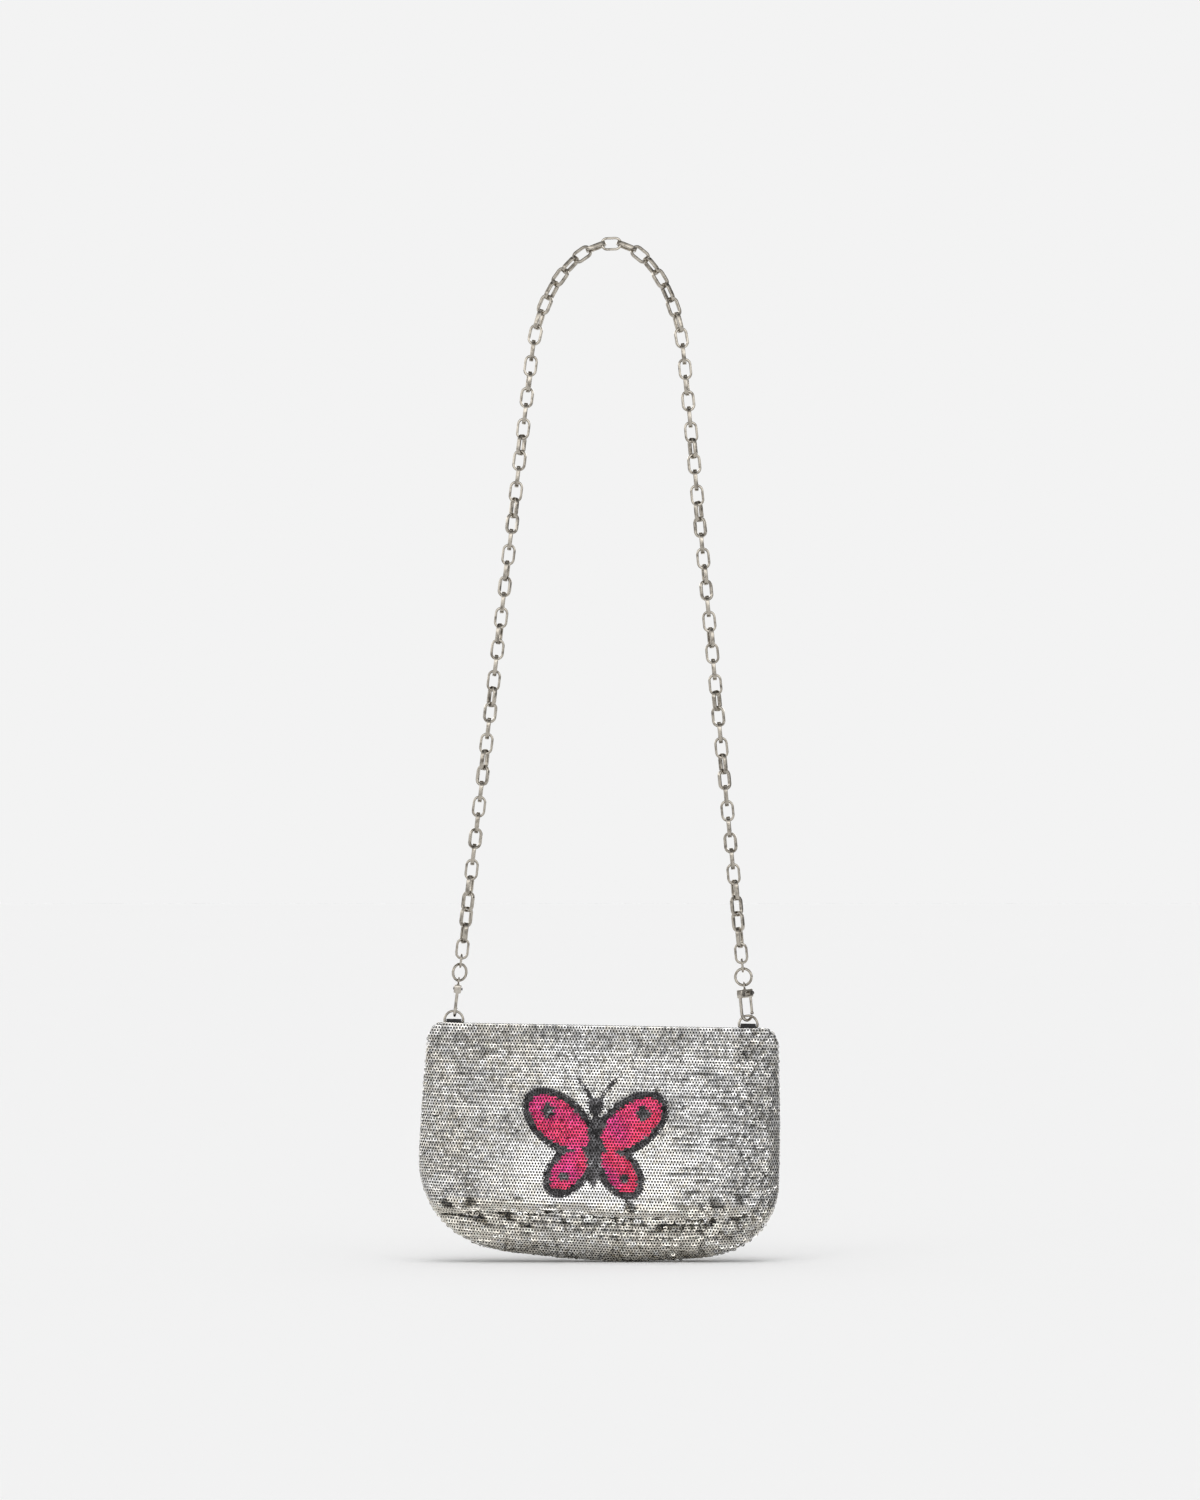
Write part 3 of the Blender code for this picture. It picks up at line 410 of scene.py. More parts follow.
def route_point(side, turn):
    """Point of the route: a half oval up to a quarter turn, straight after it."""
    wide = CROWN_RIGHT if side > 0 else CROWN_LEFT
    spread = RIGHT_SPREAD if side > 0 else LEFT_SPREAD
    splay = (spread * BAG_HALF_WIDTH - wide) / (LEG_LINKS * LINK_PITCH)
    if turn <= pi / 2:
        drop, reach = CROWN_HEIGHT * (1 - cos(turn)), wide * sin(turn)
    else:
        drop, reach = CROWN_HEIGHT * (1 + turn - pi / 2), wide
    return Vector((side * (reach + splay * drop), 0, ROUTE_TOP - drop))


def halved(is_near, near, far):
    """The place between near and far where a test stops being true."""
    for _ in range(50):
        middle = (near + far) / 2
        if is_near(middle):
            near = middle
        else:
            far = middle
    return far


def contact_points(side):
    """Where neighbouring links touch, from the top link down one leg."""
    turn = halved(lambda t: abs(route_point(side, t).x + TOP_SHIFT) < LINK_PITCH / 2, 0.0, pi / 2)
    points = [route_point(side, turn)]
    for _ in range(LEG_LINKS):
        start = points[-1]
        turn = halved(lambda t: (route_point(side, t) - start).length < LINK_PITCH, turn, turn + pi / 2)
        points.append(route_point(side, turn))
    return points


CONTACTS = {side: contact_points(side) for side in SIDE_NAMES}


def starts_run(index):
    return any(index == run_members(run)[0] for run in range(RUNS))


def run_members(run):
    first = CROWN_LINKS + 1 + run * RUN_LINKS
    return range(first, first + (LAST_LINKS if run == RUNS - 1 else RUN_LINKS))


def link_twist(index):
    """Turn of a link about the chain, flat to the front when even."""
    angle = pi / 2 * (index % 2)
    if index <= CROWN_LINKS:
        return angle + CROWN_DRIFT * sin(pi * index / CROWN_LINKS)
    run = min((index - CROWN_LINKS - 1) // RUN_LINKS, RUNS - 1)
    members = run_members(run)
    number = index - members[0]
    if run == RUNS - 1:
        return angle + pi / 2 * number / (len(members) - 1)
    if 0 < number < len(members) - 1:
        return angle + TWIST * sin(TWIST_PER_RUN * run + TWIST_PER_LINK * number + TWIST_START)
    return angle


def leg_turn(upper, lower):
    """Rotation whose +Z runs up the chain and whose Y stays across the bag's depth."""
    along = (upper - lower).normalized()
    return Matrix((DEEP.cross(along), DEEP, along)).transposed().to_4x4()


def link_part(upper, lower, twist, above, below):
    """One link between two contact points."""
    half = (upper - lower).length / 2
    path = stadium(half + above / 2, -half - below / 2, LINK_INNER, BAND_THICK)
    verts, faces = sweep(path, soft_section(BAND_THICK, BAND_WIDE, BAND_CORNER), True)
    matrix = Matrix.Translation((upper + lower) / 2) @ leg_turn(upper, lower) @ Matrix.Rotation(twist, 4, "Z")
    return [matrix @ v for v in verts], faces


def leg_parts(side, numbers):
    points, parts = CONTACTS[side], []
    for index in numbers:
        above = FREE_SPACE if starts_run(index) else FUSED_SPACE
        below = FREE_SPACE if starts_run(index + 1) else FUSED_SPACE
        if index == LEG_LINKS:
            below = JUMP_SPACE
        twist = side * link_twist(index)
        parts.append(link_part(points[index - 1], points[index], twist, above, below))
    return parts


def add_chain():
    crown = leg_parts(-1, range(1, CROWN_LINKS + 1)) + leg_parts(1, range(1, CROWN_LINKS + 1))
    crown.append(link_part(CONTACTS[-1][0], CONTACTS[1][0], 0.0, FUSED_SPACE, FUSED_SPACE))
    add_piece("links_crown", merged(crown), NICKEL, "chain_crown", ["chain_crown"])
    for run in range(RUNS):
        for side, name in SIDE_NAMES.items():
            add_piece(f"links_{name}_{run + 1}", merged(leg_parts(side, run_members(run))), NICKEL,
                      f"chain_run_{run + 1}", [f"chain_{name}_{run + 1}"])


# Clasps: every drop is measured down the leg from the last contact

RING_TOP = JUMP_DROP - GAP / 2 - RING_WIRE
RING_MIDDLE = RING_TOP + RING_OUTER / 2
RING_BOTTOM = RING_TOP + RING_OUTER
EYE_MIDDLE = RING_BOTTOM - RING_WIRE - GAP + EYE_INNER / 2
BLOCK_TOP = EYE_MIDDLE + EYE_INNER / 2 + EYE_WIRE + GAP
HOOK_BOTTOM = BLOCK_TOP + BLOCK_TALL + HOOK_DROP - HOOK_WIRE / 2
HOOK_RADIUS = (HOOK_OUTER - HOOK_WIRE) / 2
HOOK_CENTRE = HOOK_BOTTOM - HOOK_RADIUS
D_TOP = HOOK_BOTTOM - (HOOK_WIRE + D_WIRE) / 2 - D_SEAT
D_BAR = D_TOP - D_WIRE / 2 + D_TALL - D_WIRE / 2
GATE_PIN = Vector((GATE_PIN_X, 0, -BLOCK_TALL / 2))


def leg_frame(side, drop):
    """Matrix whose origin lies that far below the last contact, +Z up the leg."""
    last, above = CONTACTS[side][-1], CONTACTS[side][-2]
    along = (above - last).normalized()
    return Matrix.Translation(last - along * drop) @ leg_turn(above, last)


def add_rings(side, name):
    jump = wire_mesh(stadium(JUMP_SPACE / 2, -JUMP_DROP - GAP / 2, JUMP_INNER, JUMP_WIRE), JUMP_WIRE)
    add_piece(f"oval_ring_{name}", jump, NICKEL, "clasp_rings",
              [f"jump_ring_{name}"], leg_frame(side, 0) @ QUARTER)
    circle = arc(0, 0, (RING_OUTER - RING_WIRE) / 2, 0, 2 * pi, CIRCLE_STEPS)[:-1]
    turn = Matrix.Rotation(RING_TURNS[side], 4, "Z")
    add_piece(f"round_ring_{name}", wire_mesh(circle, RING_WIRE), NICKEL, "clasp_rings",
              [f"swivel_ring_{name}"], leg_frame(side, RING_MIDDLE) @ turn)


def add_eye(side, name):
    """Small ring with a riveted stem, its origin on the swivel axis."""
    radius, height = (EYE_INNER + EYE_WIRE) / 2, BLOCK_TOP - EYE_MIDDLE
    ring = wire_mesh(arc(0, height, radius, 0, 2 * pi, EYE_STEPS)[:-1], EYE_WIRE)
    ring.transform(QUARTER)
    head_top = -BLOCK_TOP_WALL - GAP
    profile = [
        (RIVET_HEAD / 2 - EYE_RIM, head_top - RIVET_THICK),
        (RIVET_HEAD / 2, head_top - RIVET_THICK + EYE_RIM),
        (RIVET_HEAD / 2, head_top),
        (STEM_WIRE / 2, head_top),
        (STEM_WIRE / 2, GAP),
        (STEM_WIRE / 2 - EYE_RIM, GAP + EYE_RIM),
        (EYE_WIRE / 2, height - radius),
    ]
    add_piece(f"eye_{name}", combined(ring, turned(profile, (0, 0, 1)), "UNION"), NICKEL_CAST, "clasp_rings",
              [f"swivel_eye_{name}"], leg_frame(side, BLOCK_TOP))


def clasp_frame(side):
    yaw = RIGHT_YAW if side > 0 else LEFT_YAW
    return leg_frame(side, BLOCK_TOP) @ Matrix.Rotation(yaw, 4, "Z")


def hook_mesh():
    """Cast block and hook in one, with the rivet's window and the gate's slot."""
    mesh = box_mesh((-BLOCK_WIDE / 2, -BLOCK_DEEP / 2, -BLOCK_TALL), (BLOCK_WIDE / 2, BLOCK_DEEP / 2, 0),
                    BLOCK_BEVEL, 4)
    path = [Vector((-HOOK_RADIUS, 0, -BLOCK_TALL + HOOK_WIRE))]
    path += arc(0, BLOCK_TOP - HOOK_CENTRE, HOOK_RADIUS, pi, 2 * pi + HOOK_END, HOOK_STEPS)
    sizes = [1.0] * (len(path) - len(HOOK_TIP)) + HOOK_TIP
    mesh = combined(mesh, wire_mesh(path, HOOK_WIRE, False, sizes), "UNION")
    stem_bore = STEM_WIRE / 2 + GAP
    cutters = [
        box_mesh((-WINDOW_LEFT, -BLOCK_DEEP, -BLOCK_TOP_WALL - WINDOW_TALL),
                 (WINDOW_RIGHT, BLOCK_DEEP, -BLOCK_TOP_WALL), WINDOW_BEVEL),
        box_mesh((SLOT_START, -SLOT_WIDE / 2, -BLOCK_TALL - MM),
                 (BLOCK_WIDE / 2 + MM, SLOT_WIDE / 2, -SLOT_TOP_WALL)),
        turned([(stem_bore, -BLOCK_TOP_WALL - MM), (stem_bore, MM)], (0, 0, 1)),
        turned([(PIN_BORE / 2, -BLOCK_DEEP), (PIN_BORE / 2, BLOCK_DEEP)], DEEP, GATE_PIN),
    ]
    for cutter in cutters:
        mesh = combined(mesh, cutter, "DIFFERENCE")
    return mesh


def gate_mesh():
    """Wire gate with a bored hub at the top and a ball at its tip."""
    radius, end = GATE_HUB / 2, GATE_HUB_WIDE / 2
    hub = turned([(radius - GATE_RIM, -end), (radius, GATE_RIM - end), (radius, end - GATE_RIM),
                  (radius - GATE_RIM, end)], DEEP, GATE_PIN)
    ball = Vector((HOOK_RADIUS, 0, BLOCK_TOP - HOOK_CENTRE - GATE_BALL_RISE))
    wire = wire_mesh([Vector((HOOK_RADIUS, 0, GATE_PIN.z - GATE_WIRE / 4)), ball], GATE_WIRE, False)
    bm = bmesh.new()
    bmesh.ops.create_icosphere(bm, subdivisions=3, radius=GATE_BALL / 2, matrix=Matrix.Translation(ball))
    mesh = combined(combined(hub, wire, "UNION"), mesh_from(bm), "UNION")
    bore = turned([(PIN_BORE / 2, -GATE_HUB_WIDE), (PIN_BORE / 2, GATE_HUB_WIDE)], DEEP, GATE_PIN)
    return combined(mesh, bore, "DIFFERENCE")


def pin_mesh():
    """Pin with two domed heads, from the middle of the front head to that of the back."""
    face, dome = BLOCK_DEEP / 2 + GAP, PIN_HEAD_THICK * PIN_DOME
    end = face + PIN_HEAD_THICK
    radius = PIN_HEAD / 2
    half = [(PIN_WIRE / 2, face), (radius, face), (radius, end - dome), (radius * PIN_TIP, end)]
    return turned([(radius, -height) for radius, height in half[::-1]] + half, DEEP, GATE_PIN)


def add_clasp(side, name):
    place = clasp_frame(side)
    add_piece(f"hook_{name}", hook_mesh(), NICKEL_CAST, f"clasp_{name}",
              [f"swivel_hook_{name}"], place)
    add_piece(f"gate_wire_{name}", gate_mesh(), NICKEL_CAST, f"gate_{name}",
              [f"gate_{name}"], place)
    add_piece(f"pin_{name}", pin_mesh(), RIVET, f"clasp_{name}", [f"gate_pin_{name}"], place)


def bar_axis():
    """Matrix with its origin midway between the two D rings' bars and +X along them."""
    left, right = leg_frame(-1, D_BAR).translation, leg_frame(1, D_BAR).translation
    across = (right - left).normalized()
    turn = Matrix((across, DEEP, across.cross(DEEP))).transposed().to_4x4()
    return Matrix.Translation((left + right) / 2) @ turn, (right - left).length / 2


BAR_FRAME, BAR_HALF = bar_axis()
POUCH_FRAME = BAR_FRAME @ Matrix.Rotation(BAG_LEAN, 4, "Y")


def bar_frame(side):
    return BAR_FRAME @ Matrix.Translation((side * BAR_HALF, 0, 0))


def add_d_ring(side, name):
    half = (D_OUTER - D_WIRE) / 2
    path = arc(half - D_CORNER, D_CORNER, D_CORNER, -pi / 2, 0, D_CORNER_STEPS)
    path += arc(0, D_BAR - D_TOP - half, half, 0, pi, D_STEPS)
    path += arc(D_CORNER - half, D_CORNER, D_CORNER, pi, 3 * pi / 2, D_CORNER_STEPS)
    add_piece(f"d_wire_{name}", wire_mesh(path, D_WIRE), NICKEL, "d_rings",
              [f"d_ring_{name}"], bar_frame(side))


# Ribbon: its loop's first angle, turn and steps, its bends' drops as shares, its corner and its slack
LOOP_START, LOOP_TURN, LOOP_STEPS = 35, 290, 24
RIBBON_BEND, RIBBON_NECK, RIBBON_CORNER, RIBBON_SLACK = 0.6, 1.9, 0.35 * MM, 0.05 * MM


def add_tab(side, name):
    """Grosgrain ribbon folded round the bar, its two ends pressed together and sewn."""
    middle = D_WIRE / 2 + GAP + TAB_THICK / 2
    layer = TAB_STEM / 4 + RIBBON_SLACK
    drops = [TAB_LENGTH, TAB_LENGTH * RIBBON_BEND, middle * RIBBON_NECK]
    path = [Vector((-layer, 0, -drop)) for drop in drops]
    for step in range(LOOP_STEPS + 1):
        angle = radians(LOOP_START + LOOP_TURN * step / LOOP_STEPS)
        path.append(Vector((-middle * sin(angle), 0, -middle * cos(angle))))
    path += [Vector((layer, 0, -drop)) for drop in drops[::-1]]
    section = soft_section(TAB_THICK - 2 * RIBBON_SLACK, TAB_WIDE, RIBBON_CORNER)
    add_piece(f"ribbon_{name}", mesh_of(*sweep(path, section, False)), RIBBON, "pouch",
              [f"tab_{name}"], bar_frame(side) @ QUARTER)


# Pouch surface, in the pouch's own axes

WIDER_CORNER = max(LEFT_CORNER, RIGHT_CORNER)
STRAIGHT = BAG_TALL - WIDER_CORNER
STRAIGHT_STEPS, CORNER_STEPS = 300, 200


def rounding(share):
    """How far a quarter circle of radius 1 has fallen back at a share of its reach."""
    return 1 - np.sqrt(1 - share * share)


def outline(depth):
    """Reach to the left and right, half thickness and belly share at depths below the top edge."""
    ease = np.clip(depth / SHOULDER_TALL, 0, 1)
    ease = ease * ease * (3 - 2 * ease)
    deep = MOUTH_HALF_DEEP + (BAG_HALF_DEEP - MOUTH_HALF_DEEP) * ease
    share = np.clip(depth / (BAG_TALL * WIDEST_SHARE), 0, 1)
    wide = BAG_TOP_HALF_WIDTH + (BAG_HALF_WIDTH - BAG_TOP_HALF_WIDTH) * np.sin(share * pi / 2)
    wide = wide - TOP_CORNER * rounding(np.clip(1 - depth / TOP_CORNER, 0, 1))
    reaches = []
    for corner in (LEFT_CORNER, RIGHT_CORNER):
        below = np.clip((depth - BAG_TALL + corner) / corner, 0, 1)
        reaches.append(wide - corner * rounding(below))
    low = np.clip((depth - STRAIGHT) / WIDER_CORNER, 0, 1)
    return reaches, deep * (1 - low * low) ** (CORNER_FULLNESS / 2), low


def surface(share, depth, facing, inset=0.0):
    """Points of the smooth pouch, moved in from its outer face."""
    (left, right), deep, low = outline(depth)
    deep = np.maximum(deep - inset, 0)
    fullness = np.sqrt(np.maximum(1 - np.abs(share) ** SIDE_ROUNDNESS, 0))
    x = BAG_SHIFT + share * (np.where(share > 0, right, left) - inset)
    y = facing * (GAP / 2 + deep * fullness)
    reach = 1 - np.copysign(BELLY_PLACE, share - BELLY_PLACE)
    belly = BAG_BELLY * low * (1 - ((share - BELLY_PLACE) / reach) ** 2)
    rise = TOP_RISE * (1 + share) / 2 * (1 - np.clip(depth / SHOULDER_TALL, 0, 1)) ** 2
    z = rise - BAG_TOP_DROP - depth - belly + inset * low
    return np.stack(np.broadcast_arrays(x, y, z), axis=-1)


def depth_table():
    """Depths and the length of cloth from the top edge down to them, at the middle."""
    straight = np.linspace(0, STRAIGHT, STRAIGHT_STEPS)
    corner = STRAIGHT + WIDER_CORNER * np.sin(np.linspace(0, pi / 2, CORNER_STEPS)[1:])
    depths = np.concatenate([straight, corner])
    line = surface(np.zeros_like(depths), depths, -1)
    steps = np.linalg.norm(np.diff(line, axis=0), axis=1)
    return depths, np.concatenate([[0], np.cumsum(steps)])


DEPTHS, LENGTHS = depth_table()
CLOTH_TALL = LENGTHS[-1]
CLOTH_ROWS, CLOTH_COLUMNS = 150, 180
LINING_ROWS, LINING_COLUMNS, LINING_WAVES = 60, 90, 0.5
NET_INSET, CLOTH_ANGLE = 0.55 * MM, 80.0
SEAM_SHARE, SEAM_EASE, TOP_WAVES, TOP_EASE = 0.05, 8 * MM, 0.25, 20 * MM

# Parts of the pouch with a look of their own: low end, high end and soft edge in mm, across and down
ZONES = {
    "left_waves": ((-140, -78, 40), (12, 128, 30)),
    "right_waves": ((52, 140, 40), (16, 128, 30)),
    "low_waves": (None, (112, 175, 22)),
    "corner_waves": ((55, 112, 22), (110, 158, 16)),
    "fold": ((-112, 96, 30), None),
    "left_ribs": ((-128, -62, 44), (4, 132, 20)),
    "right_ribs": ((44, 100, 22), (14, 120, 24)),
    "low_ribs": (None, (131, 152, 6)),
    "smooth": ((-66, 66, 40), (84, 131, 22)),
    "top": (None, (-20, 50, 34)),
    "right": ((44, 98, 20), (20, 110, 20)),
    "right_end": ((96, 150, 10), None),
    "spots": ((-112, 84, 20), (121, 141, 8)),
    "crumple": ((58, 112, 14), (114, 152, 10)),
    "rough_right": ((96, 150, 8), None),
    "rough_left": ((-150, -112, 8), None),
    "rough_low": (None, (131, 200, 8)),
}

# Waves of the cloth: grain in mm, seed, stretch, height in mm, and what zones add to the height
WAVES = (
    (46.0, 0, (1, 1, 1.7), 0.9, {}),
    (24.0, 9, (0.6, 1, 3.0), 0.35, {"left_waves": 0.9, "right_waves": 0.9}),
    (7.0, 17, (0.35, 1, 1.3), 0.15, {"left_waves": 0.35, "right_waves": 0.35, "low_waves": 0.3}),
    (17.0, 23, (0.6, 1, 1.5), 0, {"low_waves": 1.1}),
    (12.0, 31, (0.8, 1, 1.1), 0, {"corner_waves": 2.0}),
)
WAVE_SEEDS = {-1: 3.1, 1: 41.7}

# The fold, in mm: its drop, the (height, length) of its bends, and its ridges' height, place and width
FOLD_DROP, FOLD_BENDS = 131, ((2.0, 26), (1.0, 9))
FOLD_RIDGES = ((-3.0, 0, 3.0), (1.6, -9, 6.0), (1.8, 13, 6.0))


def zone(name, points):
    """1 inside a named part of the pouch, falling off over its soft edges."""
    share = 1.0
    for value, ends in zip((points[..., 0], -points[..., 2]), ZONES[name]):
        if ends:
            low, high, soft = mm(*ends)
            risen = np.clip((value - low) / soft + 0.5, 0, 1)
            share = share * (risen * np.clip((high - value) / soft + 0.5, 0, 1))
    return share


def zoned(points, value, changes):
    """A value with the changes that the zones make to it."""
    for name, amount in changes.items():
        value = value + amount * zone(name, points)
    return value


def field(points, grain, seed, stretch=(1, 1, 1)):
    """Smooth noise from -1 to 1 with a grain in mm."""
    places = points.reshape(-1, 3) / (grain * MM) * stretch + (seed, 0, 0)
    return np.array([noise.noise(Vector(place)) for place in places]).reshape(points.shape[:-1])


def wrinkles(points, facing):
    """How far the cloth stands in or out of the smooth pouch, in metres."""
    x, height = points[..., 0], 0.0
    for grain, seed, stretch, amount, changes in WAVES:
        wave = field(points, grain, WAVE_SEEDS[facing] + seed, stretch)
        height = height + zoned(points, amount, changes) * wave
    bend = FOLD_DROP * MM
    for rise, length in FOLD_BENDS:
        bend = bend + rise * MM * np.sin(x / (length * MM))
    below = -points[..., 2] - bend
    for rise, place, wide in FOLD_RIDGES:
        height += rise * zone("fold", points) * np.exp(-((below - place * MM) / (wide * MM)) ** 2)
    return height * MM


def cloth_grid(facing, inset, rows=CLOTH_ROWS, columns=CLOTH_COLUMNS, waves=1.0, start=0.0):
    """Grid of points on the wrinkled pouch, and the way each faces."""
    lengths = np.linspace(start, CLOTH_TALL, rows)[:, None]
    shares = np.sin(pi / 2 * np.linspace(-1, 1, columns))[None, :]
    points = surface(shares, np.interp(lengths, LENGTHS, DEPTHS), facing, inset)
    edges = np.clip((1 - np.abs(shares)) / SEAM_SHARE, 0, 1)
    edges = edges * np.clip((CLOTH_TALL - lengths) / SEAM_EASE, 0, 1)
    edges = edges * (TOP_WAVES + (1 - TOP_WAVES) * np.clip(lengths / TOP_EASE, 0, 1))
    points = points + grid_facings(points, facing) * (wrinkles(points, facing) * edges * waves)[..., None]
    return points, grid_facings(points, facing)


def grid_facings(points, facing):
    """Unit vectors square to a grid of points, pointing out of the pouch."""
    square = np.cross(np.gradient(points, axis=1), np.gradient(points, axis=0)) * facing
    length = np.linalg.norm(square, axis=-1, keepdims=True)
    square = square / np.maximum(length, 1e-12)
    square[length[..., 0] < 1e-12] = (0, facing, 0)
    return square


def shell_mesh(outer, inner):
    """Closed shell between two grids of the same size."""
    count = outer[..., 0].size
    index = np.arange(count).reshape(outer.shape[:2])
    quads = np.stack([index[:-1, :-1], index[:-1, 1:], index[1:, 1:], index[1:, :-1]], axis=-1).reshape(-1, 4)
    border = np.concatenate([index[0], index[1:, -1], index[-1, -2::-1], index[-2:0:-1, 0]])
    after = np.roll(border, -1)
    rim = np.stack([border, after, after + count, border + count], axis=1)
    bm = bmesh.new()
    made = [bm.verts.new(v) for v in np.concatenate([outer.reshape(-1, 3), inner.reshape(-1, 3)])]
    for face in np.concatenate([quads, quads + count, rim]):
        bm.faces.new([made[i] for i in face])
    bmesh.ops.remove_doubles(bm, verts=bm.verts, dist=1e-6)
    return mesh_from(bm)


# Sequins

SEQUIN_PITCH, SEQUIN_RADIUS, SEQUIN_HOLE, SEQUIN_SIDES = 2.05 * MM, 1.5 * MM, 0.69 * MM, 10
# The third of these is painted shade: the share of each disc's colour kept at its hole's edge, darker as if
# shaded in the cup.
SEQUIN_CUP, SEQUIN_LIFT, SEQUIN_HOLE_PAINTED_SHADE, SEQUIN_CELL = 0.07 * MM, 0.35 * MM, 0.45, 0.36
FIRST_ROW, ROW_END, ROW_FOOT, ROW_STAGGER, ROW_UNEVEN = 0.9 * MM, 0.4 * MM, 1.2 * MM, 0.5, 0.04
SILVER, SILVER_WARM = np.array((0.93, 0.925, 0.92)), np.array((0.93, 0.88, 0.78))
PINK, VIOLET = np.array((0.96, 0.075, 0.17)), np.array((0.62, 0.06, 0.26))
DARK = np.array((0.075, 0.073, 0.076))

# Tilts of the discs: angles in degrees, waves as (angle, grain in mm, seed), places in metres, and shares
LIE, LIE_CHANGES = 12.6, {"top": 1.8, "smooth": -5.9, "right": -1.5, "right_end": 4.0}
LIE_WAVES, LIE_REACH, SMOOTH_CALM = ((3.0, 15, 5.5), (1.5, 5, 15.5)), 24, 0.75
LOW_START, LOW_EASE, LOW_CALM = 128 * MM, 12 * MM, 0.8
RIB_ELEVATION, RIB_REACH, RIB_CHANGES = 32.0, 52, {"left_ribs": 0.50, "right_ribs": 0.70, "low_ribs": 1.25}
RIB_LEAST, RIB_SHARE, RIB_UNEVEN = 0.55, 0.92, 0.18
STREAK_BASE, STREAK_WAVES, STREAK_LOW, STREAK_MOST = 0.60, 1.3, 0.15, 1.2
ROUGH_CHANGES, ROUGH_LOW, SMOOTH_ROUGH = {"rough_right": 0.9, "rough_left": 0.6}, 1.6, 0.6
SPOT_LIFT, SPOT_FROM, SPOT_SOFT, CRUMPLE_LIFT, CRUMPLE_LEAN = 30, 0.26, 0.08, 52, 34
PINK_LIFT, PINK_RIGHT_LIFT, PINK_RIGHT = -1.5, -3.2, -14 * MM
LIFT_SPREAD, LEAN, LEAN_WAVES, LEAN_SPREAD = 3.4, 2.0, 3.0, 2.8
LIFT_LOWEST, LIFT_MOST, LEAN_MOST = -50, 60, 50
LOOSE, LOOSE_LOW, LOOSE_RIGHT, LOOSE_FROM, LOOSE_SPREAD = 0.010, 0.05, 0.03, 98 * MM, 24
ROW_RISE, RISE_UNEVEN, TILT_RISE = 0.16 * MM, 0.04 * MM, 0.45

# Colours of the discs: how warm and purple they are and where, painted highlight on the smooth lower middle,
# painted glints on the dark discs, and their unevenness
WARM, WARM_WAVES, WARM_LEFT, WARM_LOW, WARM_SPREAD = 0.25, 0.4, 0.2, 0.5, 0.25
WARM_LEFT_END, WARM_LOW_TOP, SMOOTH_PAINTED_HIGHLIGHT = -40 * MM, -122 * MM, 0.07
PURPLE, PURPLE_WAVES, PURPLE_LENGTH, PURPLE_MOST, DARK_PAINTED_GLINTS = 0.25, 1.2, 90 * MM, 0.8, 1.6
BACK_TINTS, SILVER_TINTS, PINK_TINTS, DARK_TINTS = 0.13, 0.10, 0.20, 0.40

# Noise over the discs: grain in mm, seed and stretch
NOISES = {
    "streaks": (11, 61.0, (0.8, 1, 2)),
    "spots": (8, 91.0, (0.6, 1, 1.3)),
    "crumple_lift": (4.6, 35.5, (0.8, 1, 1)),
    "crumple_lean": (5.2, 45.5),
    "lean": (9, 25.5),
    "warmth": (40, 77.0),
    "purple": (16, 55.0),
    # The next noise places the painted glints on the dark discs.
    "dark": (6, 65.0),
}

# Butterfly in mm about its middle: (centre x, centre z, half length, half width, tilt) of one side's wings
MOTIF_X, MOTIF_Z = mm(-2.0, -82.0)
WINGS = ((25.0, 14.5, 29.5, 18.0, 38.0), (17.5, -18.5, 22.0, 14.5, -52.0))
WING_SPOTS = ((33, 22, 4.6), (21, -23, 3.6))
BODY_WIDE, BODY_TALL, BODY_MIDDLE, HEAD_MIDDLE, HEAD_RADIUS = 4.6, 27, -3, 26, 5.4
FEELER_FOOT, FEELER_SPREAD, FEELER_BEND, FEELER_LOW, FEELER_HIGH, FEELER_WIDE = 3, 12, 19, 27, 45, 0.9
MOTIF_BORDER = 5.2
STRING_INSETS, STRING_STEP, STRING_EDGE, STRING_GAP, STRING_RISE = (1.2, 3.3), 1.95, 0.9, 0.8, 0.25 * MM
STRING_CLEAR, FEELER_CLEAR, WING_STEPS, FEELER_STEPS = 1.0, 2, 720, 60


def motif_place(points):
    """Places in mm from the butterfly's middle line and height."""
    return np.abs((points[:, 0] - MOTIF_X) / MM), (points[:, 2] - MOTIF_Z) / MM


def wing_depth(u, v):
    """How deep a point lies inside the wings, in mm."""
    depth = np.full(np.shape(u), -1e3)
    for cx, cz, long, wide, tilt in WINGS:
        turn = radians(tilt)
        a = (u - cx) * cos(turn) + (v - cz) * sin(turn)
        b = (v - cz) * cos(turn) - (u - cx) * sin(turn)
        reach = np.sqrt((a / long) ** 2 + (b / wide) ** 2)
        slope = np.sqrt((a / long ** 2) ** 2 + (b / wide ** 2) ** 2) / np.maximum(reach, 1e-6)
        depth = np.maximum(depth, (1 - reach) / np.maximum(slope, 1e-6))
    return depth


def on_body(u, v):
    head = u ** 2 + (v - HEAD_MIDDLE) ** 2 < HEAD_RADIUS ** 2
    return ((u / BODY_WIDE) ** 2 + ((v - BODY_MIDDLE) / BODY_TALL) ** 2 < 1) | head


def feeler(v):
    return FEELER_FOOT + ((v - HEAD_MIDDLE) / FEELER_BEND) ** 2 * FEELER_SPREAD


def motif_colour(points):
    """Which colour the butterfly gives each point: 0 none, 1 pink, 2 dark."""
    u, v = motif_place(points)
    depth = wing_depth(u, v)
    picked = np.where(depth > MOTIF_BORDER, 1, np.where(depth > 0, 2, 0))
    for cu, cv, radius in WING_SPOTS:
        picked = np.where((depth > 0) & ((u - cu) ** 2 + (v - cv) ** 2 < radius ** 2), 2, picked)
    feelers = (np.abs(u - feeler(v)) < FEELER_WIDE) & (v > FEELER_LOW) & (v < FEELER_HIGH)
    return np.where(on_body(u, v) | feelers, 2, picked)


def spaced(u, v, step):
    """Points at even steps along a line."""
    run = np.concatenate([[0], np.cumsum(np.hypot(np.diff(u), np.diff(v)))])
    places = np.arange(0, run[-1] - step / 2, step)
    return np.interp(places, run, u), np.interp(places, run, v)


